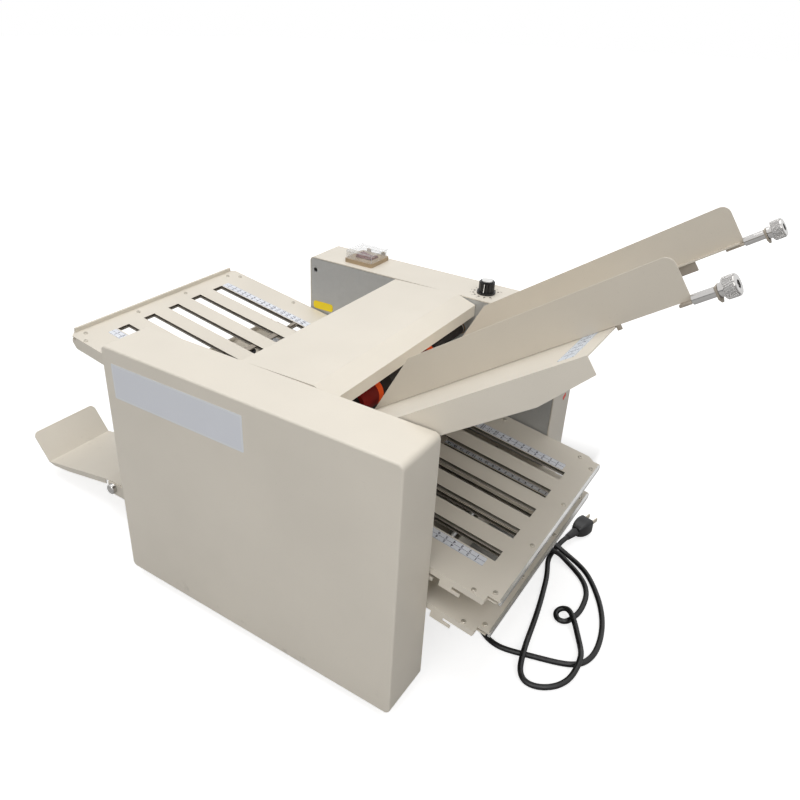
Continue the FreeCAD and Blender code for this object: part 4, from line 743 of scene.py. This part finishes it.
class FOLDER_OT_stage(bpy.types.Operator):
    """Sets the camera, the floor, the lamps and the surroundings"""

    bl_idname = "folder.stage"
    bl_label = "Camera, floor and lamps"

    def execute(self, context):
        scene = context.scene
        scene.view_settings.view_transform = "Standard"
        self.camera(scene)
        for name, place, turn, side, power in LAMPS:
            bpy.ops.object.light_add(type="AREA", location=place, rotation=[math.radians(t) for t in turn])
            lamp = bpy.context.object
            lamp.name = name
            lamp.data.shape = "SQUARE"
            lamp.data.size = side
            lamp.data.energy = power

        clear_bench()
        bpy.ops.mesh.primitive_circle_add(
            vertices=96, radius=FLOOR_RADIUS, fill_type="NGON", location=(0, 0, -0.0004)
        )
        floor = named("studio_floor")
        edit()
        bpy.ops.mesh.select_all(action="SELECT")
        bpy.ops.mesh.inset(thickness=5.5)
        done()
        settle(floor)
        floor.data.materials.append(self.floor_finish())
        self.surroundings(scene)
        return {"FINISHED"}

    def camera(self, scene):
        """Stands the camera up."""
        clear_bench()
        turn = Euler([math.radians(part) for part in CAMERA_TURN])
        bpy.ops.object.camera_add(location=at(*CAMERA_PLACE), rotation=turn)
        camera = bpy.context.object
        camera.name = "view_camera"
        camera.data.lens = sizes().lens
        camera.data.sensor_width = 36
        camera.data.shift_x, camera.data.shift_y = CAMERA_SHIFT
        camera.data.clip_start = 0.01
        camera.data.clip_end = 60
        scene.camera = camera

    def floor_finish(self):
        """Matt floor that looks brighter with distance, to end white, but not under the machine."""
        material, tree, shader = new_finish("studio_floor", colour("floor"), 0.95)
        seen = put_node(tree, "ShaderNodeLightPath", {}).outputs
        direct = higher(tree, seen["Is Camera Ray"], seen["Is Transmission Ray"])
        across = axis_of(tree, 0)
        deep = axis_of(tree, 1)
        squares = (math_node(tree, "POWER", value, 2) for value in (across, deep))
        reach = math_node(tree, "SQRT", math_node(tree, "ADD", *squares))
        open_floor = spread(tree, reach, *FLOOR_BRIGHTENS, 0.72, 1.0)
        under = times(
            tree,
            spread(tree, across, *SHADE_RIGHT, 1, 0),
            spread(tree, across, *SHADE_LEFT, 0, 1),
            spread(tree, deep, *SHADE_FRONT, 0, 1),
            spread(tree, deep, *SHADE_BACK, 1, 0),
        )
        lift = times(tree, open_floor, math_node(tree, "SUBTRACT", 1.0, under))
        glow = put_node(tree, "ShaderNodeEmission", {"Color": WHITE, "Strength": times(tree, direct, lift)})
        total = put_node(tree, "ShaderNodeAddShader", {0: shader.outputs[0], 1: glow.outputs[0]})
        wire(tree.nodes["Material Output"], "Surface", total.outputs[0])
        return material

    def surroundings(self, scene):
        """White to the eye, and a soft warm light to the machine."""
        world = bpy.data.worlds.new("studio")
        scene.world = world
        world.use_nodes = True
        tree = world.node_tree
        light = tree.nodes["Background"]
        wire(light, "Color", WARM_WHITE)
        wire(light, "Strength", ROOM_LIGHT)
        white = put_node(tree, "ShaderNodeBackground", {"Color": WHITE, "Strength": 1.0})
        seen = put_node(tree, "ShaderNodeLightPath", {}).outputs
        direct = higher(tree, seen["Is Camera Ray"], seen["Is Glossy Ray"])
        direct = higher(tree, direct, seen["Is Transmission Ray"])
        mix = put_node(tree, "ShaderNodeMixShader", {0: direct, 1: light.outputs[0], 2: white.outputs[0]})
        wire(tree.nodes["World Output"], "Surface", mix.outputs[0])


# ---------------- cord and plug


class FOLDER_OT_cord(bpy.types.Operator):
    """Lays the mains cord along its route"""

    bl_idname = "folder.cord"
    bl_label = "Mains cord"

    def execute(self, context):
        curve = bpy.data.curves.new("mains_cord", "CURVE")
        curve.dimensions = "3D"
        spline = curve.splines.new("NURBS")
        spline.points.add(len(CORD_ROUTE) - 1)
        for point, place in zip(spline.points, CORD_ROUTE):
            point.co = (*place, 1)
        spline.order_u = 3
        spline.use_endpoint_u = True
        spline.resolution_u = 6
        curve.bevel_depth = sizes().cord_diameter / 2
        curve.bevel_resolution = 5
        curve.use_fill_caps = True
        cord = bpy.data.objects.new("mains_cord", curve)
        context.collection.objects.link(cord)
        curve.materials.append(self.jacket())
        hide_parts("power_cord")
        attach(cord, "frame")
        return {"FINISHED"}

    def jacket(self):
        """Satin black jacket with handling dust."""
        jacket = colour("black")
        material, tree, shader = new_finish("cord_jacket", jacket, 0.36)
        dust = spread(tree, noise(tree, 70, 4, 0.65), 0.5, 0.8, 0.0, 0.3)
        paint(shader, shaded(tree, dust, jacket, 0.5, 1.5), uneven(tree, 150, 3, 0.28, 0.44))
        bump(shader, noise(tree, 420, 2), 0.12, 0.0003)
        return material


# ---------------- brackets of the side guides


def block(name, along, deep, above, edge):
    """A small bar between two places in each of the table's axes, in millimetres, with eased edges."""
    clear_bench()
    spans = [(low / 1000, high / 1000) for low, high in (along, deep, above)]
    bpy.ops.mesh.primitive_cube_add(size=1, location=[(low + high) / 2 for low, high in spans])
    bar = named(name)
    sized(bar, [high - low for low, high in spans])
    edit()
    bpy.ops.mesh.select_all(action="SELECT")
    bpy.ops.mesh.bevel(offset=edge / 1000, segments=2, affect="EDGES")
    done()
    return bar


class FOLDER_OT_guide_brackets(bpy.types.Operator):
    """Makes the brackets under the side guides: a strip, a lug at the table's edge and a tab on the rod"""

    bl_idname = "folder.guide_brackets"
    bl_label = "Guide brackets"

    def execute(self, context):
        steel = plated_steel("bracket_steel", linear(176, 166, 152), 0.45, 0.3)
        start, end = STRIP_ENDS
        for side, deep, reach, lug_end, lug_depth in BRACKETS:
            width = (deep - STRIP_HALF, deep + STRIP_HALF)
            strip = block(f"{side}_strip", (start, end + reach), width, STRIP_LEVELS, 0.4)
            wall = (deep, deep + BRACKET_SHEET) if side == "near" else (deep - BRACKET_SHEET, deep)
            lug = block(f"{side}_lug", (LUG_START, lug_end), wall, (-lug_depth, LUG_TOP), 0.4)
            tab = self.tab(f"{side}_tab", TAB_START + reach, deep)
            bracket = joined(f"{side}_bracket", [strip, lug, tab])
            seat(bracket, table_seat(0, 0))
            smooth(bracket)
            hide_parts(f"{side}_guide_bracket")
            fit(bracket, f"{side}_guide_unit", steel)
        return {"FINISHED"}

    def tab(self, name, along, deep):
        """Upright tab with a pointed foot, bored for the rod."""
        width = (deep - TAB_HALF, deep + TAB_HALF)
        tab = block(name, (along, along + BRACKET_SHEET), width, TAB_LEVELS, 0.3)
        middle = ((along + BRACKET_SHEET / 2) / 1000, deep / 1000)
        foot = (TAB_LEVELS[0] - TAB_FOOT) / 1000
        edit()
        pick("FACE", lambda face: face.normal.z < -0.9)
        bpy.ops.mesh.extrude_region_move(TRANSFORM_OT_translate={"value": (0, 0, -TAB_FOOT / 1000)})
        bpy.ops.transform.resize(value=(1, 0.08, 1), center_override=(*middle, foot))
        done()
        clear_bench()
        bpy.ops.mesh.primitive_cylinder_add(
            vertices=48, radius=ROD_BORE, depth=0.01, location=(*middle, 0), rotation=(0, math.pi / 2, 0)
        )
        cut_away(tab, named(f"{name}_drill"))
        return tab


# ---------------- finishes of the frame


class FOLDER_OT_finishes(bpy.types.Operator):
    """Gives each part of the frame its finish"""

    bl_idname = "folder.finishes"
    bl_label = "Finishes of the frame"

    def execute(self, context):
        self.sheet_metal()
        self.plastics()
        self.running_gear()
        bare = [name for name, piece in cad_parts.items() if not piece.data.materials]
        if bare:
            raise RuntimeError(f"no finish on {bare}")
        return {"FINISHED"}

    def sheet_metal(self):
        """Coated and plated sheet, bars and pins."""
        coat = powder_coat("powder_coat", colour("coat"))
        coat_node(coat, "near_cover", "far_cover", "top_cover", "feed_table", "base_plate")
        coat_node(coat, "output_tray", "tray_arm")
        # Each fold plate's coat carries painted shade in its slots.
        for n in PLATE_ENDS:
            plate = powder_coat(f"plate_{n}_coat", colour("coat"), plate=n)
            coat_node(plate, f"fold_plate_{n}_upper", f"fold_plate_{n}_lower")
        coat_node(powder_coat("guide_coat", colour("guide_coat"), 0.4), "near_guide", "far_guide")
        coat_node(zinc_sheet("side_plate_zinc", colour("side_steel")), "near_side_plate", "far_side_plate")
        bright = plated_steel("bright_steel", colour("bright_steel"))
        coat_node(bright, "cross_bars", "delivery_chute", "plate_pins", "motor_shaft")
        stop = plated_steel("stop_steel", linear(150, 141, 129), 0.5, 0.3)
        coat_node(stop, *[f"fold_plate_{n}_stop" for n in PLATE_ENDS])
        end_bar = plated_steel("end_bar_steel", linear(214, 214, 212), 0.26, 0.9, (60, 1, 60))
        coat_node(end_bar, "fold_plate_2_end_bar", "fold_plate_4_end_bar")
        coat_node(plated_steel("pin_nickel", linear(214, 206, 190), 0.2, 1.0), "plug_pins")
        coat_node(plated_steel("thumbscrew_chrome", CHROME, 0.14, 1.0), "tray_screw")
        for side, deep, reach, _, _ in BRACKETS:
            coat_node(knurled_finish(f"{side}_guide_chrome", CHROME, deep, reach), f"{side}_guide_screw")

    def plastics(self):
        """Moulded parts and the control board."""
        black = moulded("black_plastic", colour("black"), 0.36)
        coat_node(black, "cord_gland", "power_plug", *[f"fold_plate_{n}_stop_nut" for n in PLATE_ENDS])
        coat_node(fluted_finish("dial_black", colour("black"), at(*DIAL_CENTRE, HOUSING_TOP)), "speed_dial")
        coat_node(moulded("foot_rubber", linear(30, 30, 30), 0.7, 500, 0.3), "rubber_feet")
        coat_node(moulded("tan_plastic", linear(178, 156, 126), 0.36), "switch_frame")
        coat_node(moulded("rocker_red", linear(104, 24, 20), 0.4), "power_rocker")
        coat_node(clear_finish("clear_guard", linear(226, 229, 231)), "switch_guard")
        coat_node(board_finish("circuit_board", linear(34, 92, 58)), "speed_control_board")

    def running_gear(self):
        """Rollers, tyres, gears, belt, bushes and motor."""
        tyres = tyre_finish("feed_rubber", colour("worn_rubber"), colour("feed_rubber"), DARK_SLEEVE)
        coat_node(tyres, "feed_tyres")
        coat_node(roller_finish("feed_sleeve", DARK_SLEEVE), "feed_roller")
        fold = roller_finish("fold_roller", linear(52, 50, 48))
        coat_node(fold, *[f"fold_roller_{n}" for n in range(1, 7)])
        coat_node(moulded("gear_nylon", NYLON, 0.4), "idler_gear")
        coat_node(moulded("belt_rubber", linear(34, 34, 34), 0.6), "drive_belt")
        coat_node(moulded("motor_paint", linear(60, 61, 64), 0.42), "motor")
        coat_node(plated_steel("bush_bronze", linear(176, 132, 84), 0.34, 0.9), "roller_bearings")


# ---------------- small parts


def screw_head(name, radius, rise):
    """Pan head with a cross recess, standing on the origin."""
    clear_bench()
    bpy.ops.mesh.primitive_cylinder_add(vertices=28, radius=radius, depth=rise, location=(0, 0, rise / 2))
    head = named(name)
    edit()
    pick("EDGE", lambda line: all(v.co.z > rise * 0.3 for v in line.verts) and len(line.link_faces) == 2)
    bpy.ops.mesh.bevel(offset=rise * 0.62, segments=3, affect="EDGES")
    done()
    blades = []
    for turn in (0, math.pi / 2):
        clear_bench()
        bpy.ops.mesh.primitive_cube_add(size=1, location=(0, 0, rise), rotation=(0, 0, turn))
        blade = named(f"{name}_recess")
        sized(blade, (radius * 1.15, radius * 0.26, rise * 1.1))
        blades.append(blade)
    for blade in blades:
        cut_away(head, blade)
    smooth(head, 40)
    return head


class FOLDER_OT_plate_screws(bpy.types.Operator):
    """Sets the pan head screws of the four fold plates"""

    bl_idname = "folder.plate_screws"
    bl_label = "Plate screws"

    def execute(self, context):
        pattern = screw_head("plate_screw", sizes().screw_radius, sizes().screw_rise)
        steel = plated_steel("screw_steel", linear(196, 190, 178), 0.4, 0.6)
        for number, row in SCREW_ROWS.items():
            heads = []
            for index, (from_outer, deep) in enumerate((*zip(row, SCREW_ROW_Y), *SIDE_SCREWS)):
                head = another(pattern, f"plate_{number}_screw_{index}")
                seat(head, plate_seat(number, from_outer, deep) @ turned(0.7 * index, "Z"))
                heads.append(head)
            fit(joined(f"plate_{number}_screws", heads), "frame", steel)
        remove(pattern)
        return {"FINISHED"}


def film(name, length, width, corner=0.0012):
    """A stick-on film with round corners, lying on the origin, with its length along X."""
    clear_bench()
    bpy.ops.mesh.primitive_plane_add(size=1, calc_uvs=True)
    sheet = named(name)
    sized(sheet, (length, width, 1))
    edit()
    bpy.ops.mesh.select_all(action="SELECT")
    bpy.ops.mesh.bevel(offset=corner, segments=4, affect="VERTICES")
    done()
    wall = sheet.modifiers.new("wall", "SOLIDIFY")
    wall.thickness = sizes().film_thickness
    wall.offset = 1
    apply_all(sheet)
    return sheet


def figures(name, words, height, ink):
    """Numbers as a flat mesh. Each word is its text and its place on the film."""
    made = []
    for word, across, deep in words:
        clear_bench()
        bpy.ops.object.text_add(location=(across, deep, 0))
        text = bpy.context.object
        text.data.body = word
        text.data.size = height * 1.36
        text.data.align_x = "CENTER"
        text.data.align_y = "CENTER"
        text.data.resolution_u = 2
        text.data.offset = height * 0.035
        hold(text)
        bpy.ops.object.convert(target="MESH")
        settle(text)
        made.append(text)
    result = joined(name, made)
    result.data.materials.clear()
    result.data.materials.append(ink)
    return result


def ruler(name, length, width, field, ink):
    """A ruler with numbers each centimetre in two rows, lying on the origin."""
    strip = film(name, length, width)
    strip.data.materials.append(field)
    steps = range(1, round(length * 100))
    words = [(str(step), -length / 2 + step * 0.01, deep) for step in steps for deep in NUMBER_ROWS]
    numbers = figures(f"{name}_numbers", words, sizes().figure_height, ink)
    seat(numbers, Matrix.Translation((0, 0, sizes().film_thickness + 0.00004)))
    return joined(name, [strip, numbers])


class FOLDER_OT_plate_rulers(bpy.types.Operator):
    """Sticks two rulers on each fold plate, beside its outer slots"""

    bl_idname = "folder.plate_rulers"
    bl_label = "Plate rulers"

    def execute(self, context):
        size = (sizes().ruler_length, sizes().ruler_width)
        ink = new_finish("ruler_ink", linear(26, 30, 60), 0.5)[0]
        field = scale_finish("ruler_film", linear(236, 239, 246), linear(50, 58, 96), *size)
        pattern = ruler("plate_ruler", *size, field, ink)
        for number, (_, _, way) in PLATE_ENDS.items():
            for side, deep, inward in PLATE_RULERS:
                copy = another(pattern, f"plate_{number}_{side}_ruler")
                middle = RULER_MIDDLE if way > 0 else RULER_MIDDLE + inward
                seat(copy, plate_seat(number, middle, deep) @ turned(0 if way > 0 else math.pi, "Z"))
                fit(copy, "frame", None)
        remove(pattern)
        return {"FINISHED"}


class FOLDER_OT_table_ruler(bpy.types.Operator):
    """Sticks the ruler across the feed table for setting the side guides"""

    bl_idname = "folder.table_ruler"
    bl_label = "Table ruler"

    def execute(self, context):
        field = scale_finish("table_ruler_film", linear(222, 229, 238), linear(74, 88, 122), *TABLE_RULER)
        ink = new_finish("table_ruler_ink", linear(34, 44, 84), 0.5)[0]
        strip = ruler("table_ruler", *TABLE_RULER, field, ink)
        seat(strip, table_seat(TABLE_RULER_PLACE, 0) @ turned(math.pi / 2, "Z"))
        fit(strip, "frame", None)
        return {"FINISHED"}


class FOLDER_OT_labels(bpy.types.Operator):
    """Sets the bare front panel, the plain sticker and the small tag"""

    bl_idname = "folder.labels"
    bl_label = "Front panel and stickers"

    def execute(self, context):
        upright = turned(math.pi / 2, "X")
        end_on = turned(math.pi / 2, "Z") @ upright
        panel = film_finish("front_panel_film", colour("label"), linear(233, 236, 241))
        panel_place = placed(116.3, -HOUSING_FACE_Y, 289) @ turned(-0.011, "Y")
        sticker = film_finish("sticker_film", colour("sticker"), linear(250, 205, 24))
        sticker_place = placed(24.8, SIDE_PLATE_Y, 253.4) @ turned(-0.012, "Y")
        tag = film_finish("tag_film", linear(238, 66, 44), linear(224, 54, 38))
        tag_place = placed(HOUSING_END, 207, 203) @ turned(0.5, "X")
        for name, size, place, stand, finish in (
            ("front_panel", (0.2015, 0.0456, 0.0016), panel_place, upright, panel),
            ("side_sticker", (0.0372, 0.0128, 0.0046), sticker_place, upright, sticker),
            ("end_tag", (0.0100, 0.0068, 0.0012), tag_place, end_on, tag),
        ):
            piece = film(name, *size)
            seat(piece, place @ stand)
            fit(piece, "frame", finish)
        return {"FINISHED"}


class FOLDER_OT_dial_scale(bpy.types.Operator):
    """Marks the speed dial: a white cap, a pointer line and a ring of marks on the housing"""

    bl_idname = "folder.dial_scale"
    bl_label = "Dial cap and scale"

    def execute(self, context):
        white = moulded("dial_white", linear(232, 232, 230), 0.35)
        fit(self.cap(), "dial", white)
        fit(self.pointer(), "dial", white)
        ink = moulded("scale_ink", linear(104, 96, 88), 0.5)
        fit(self.ring_of_marks(ink), "frame", ink)
        return {"FINISHED"}

    def disc(self, name, vertices, radius, rise, rim):
        """Flat disc at the origin with a rim inset in its top."""
        clear_bench()
        bpy.ops.mesh.primitive_cylinder_add(vertices=vertices, radius=radius, depth=rise)
        disc = named(name)
        edit()
        pick("FACE", lambda face: face.normal.z > 0.9)
        bpy.ops.mesh.inset(thickness=rim)
        return disc

    def cap(self):
        """White cap on the dial, with its middle raised."""
        cap = self.disc("dial_cap", 48, 0.0074, 0.0008, 0.0012)
        bpy.ops.transform.translate(value=(0, 0, 0.0003))
        done()
        seat(cap, placed(*DIAL_CENTRE, HOUSING_TOP + 18.4))
        smooth(cap)
        return cap

    def pointer(self):
        """Line down the dial's leaning wall."""
        clear_bench()
        bpy.ops.mesh.primitive_cube_add(size=1)
        pointer = named("dial_pointer")
        sized(pointer, (0.0009, 0.0007, 0.0118))
        edit()
        pick("EDGE", lambda line: abs(line.verts[0].co.z - line.verts[1].co.z) < 1e-6)
        bpy.ops.mesh.bevel(offset=0.0002, segments=2, affect="EDGES")
        done()
        seat(pointer, Matrix.Translation((0, -0.0117, 0.0100)) @ turned(math.radians(-8.4), "X"))
        seat(pointer, placed(*DIAL_CENTRE, HOUSING_TOP) @ turned(0.12, "Z"))
        return pointer

    def ring_of_marks(self, ink):
        """Dots and numbers around the dial, printed on the housing."""
        dot = self.disc("scale_dot", 20, 0.0015, 0.0002, 0.0003)
        done()
        marks = []
        count = sizes().dial_marks
        for index in range(count):
            turn = math.radians(DIAL_FIRST - DIAL_SWEEP * index / (count - 1))
            across, deep = math.cos(turn), math.sin(turn)
            mark = another(dot, f"scale_dot_{index}")
            ring = Matrix.Translation((MARK_REACH * across, MARK_REACH * deep, 0))
            seat(mark, placed(*DIAL_CENTRE, HOUSING_TOP + 0.12) @ ring)
            words = [(str(index), NUMBER_REACH * across, NUMBER_REACH * deep)]
            number = figures(f"scale_number_{index}", words, 0.0022, ink)
            seat(number, placed(*DIAL_CENTRE, HOUSING_TOP + 0.1))
            marks += [mark, number]
        remove(dot)
        return joined("dial_scale", marks)


# ---------------- panel and registration


STEPS = (
    FOLDER_OT_stage,
    FOLDER_OT_cord,
    FOLDER_OT_guide_brackets,
    FOLDER_OT_finishes,
    FOLDER_OT_plate_screws,
    FOLDER_OT_plate_rulers,
    FOLDER_OT_table_ruler,
    FOLDER_OT_labels,
    FOLDER_OT_dial_scale,
)


class FOLDER_PT_panel(bpy.types.Panel):
    bl_label = "Folding machine"
    bl_idname = "FOLDER_PT_panel"
    bl_space_type = "VIEW_3D"
    bl_region_type = "UI"
    bl_category = "Folding Machine"

    def draw(self, context):
        layout = self.layout
        for group in (context.scene.folding_machine_sizes, context.scene.folding_machine_colours):
            box = layout.box()
            for name in group.bl_rna.properties.keys():
                if name not in ("rna_type", "name"):
                    box.prop(group, name)
        for step in STEPS:
            layout.operator(step.bl_idname)


CLASSES = (FoldingMachineSizes, FoldingMachineColours, *STEPS, FOLDER_PT_panel)


def register():
    for group in CLASSES:
        bpy.utils.register_class(group)
    bpy.types.Scene.folding_machine_sizes = PointerProperty(type=FoldingMachineSizes)
    bpy.types.Scene.folding_machine_colours = PointerProperty(type=FoldingMachineColours)


def unregister():
    del bpy.types.Scene.folding_machine_colours
    del bpy.types.Scene.folding_machine_sizes
    for group in reversed(CLASSES):
        bpy.utils.unregister_class(group)


def main():
    register()
    bpy.ops.folder.stage()
    bpy.ops.folder.cord()
    bpy.ops.folder.guide_brackets()
    bpy.ops.folder.finishes()
    bpy.ops.folder.plate_screws()
    bpy.ops.folder.plate_rulers()
    bpy.ops.folder.table_ruler()
    bpy.ops.folder.labels()
    bpy.ops.folder.dial_scale()


if __name__ == "__main__":
    main()
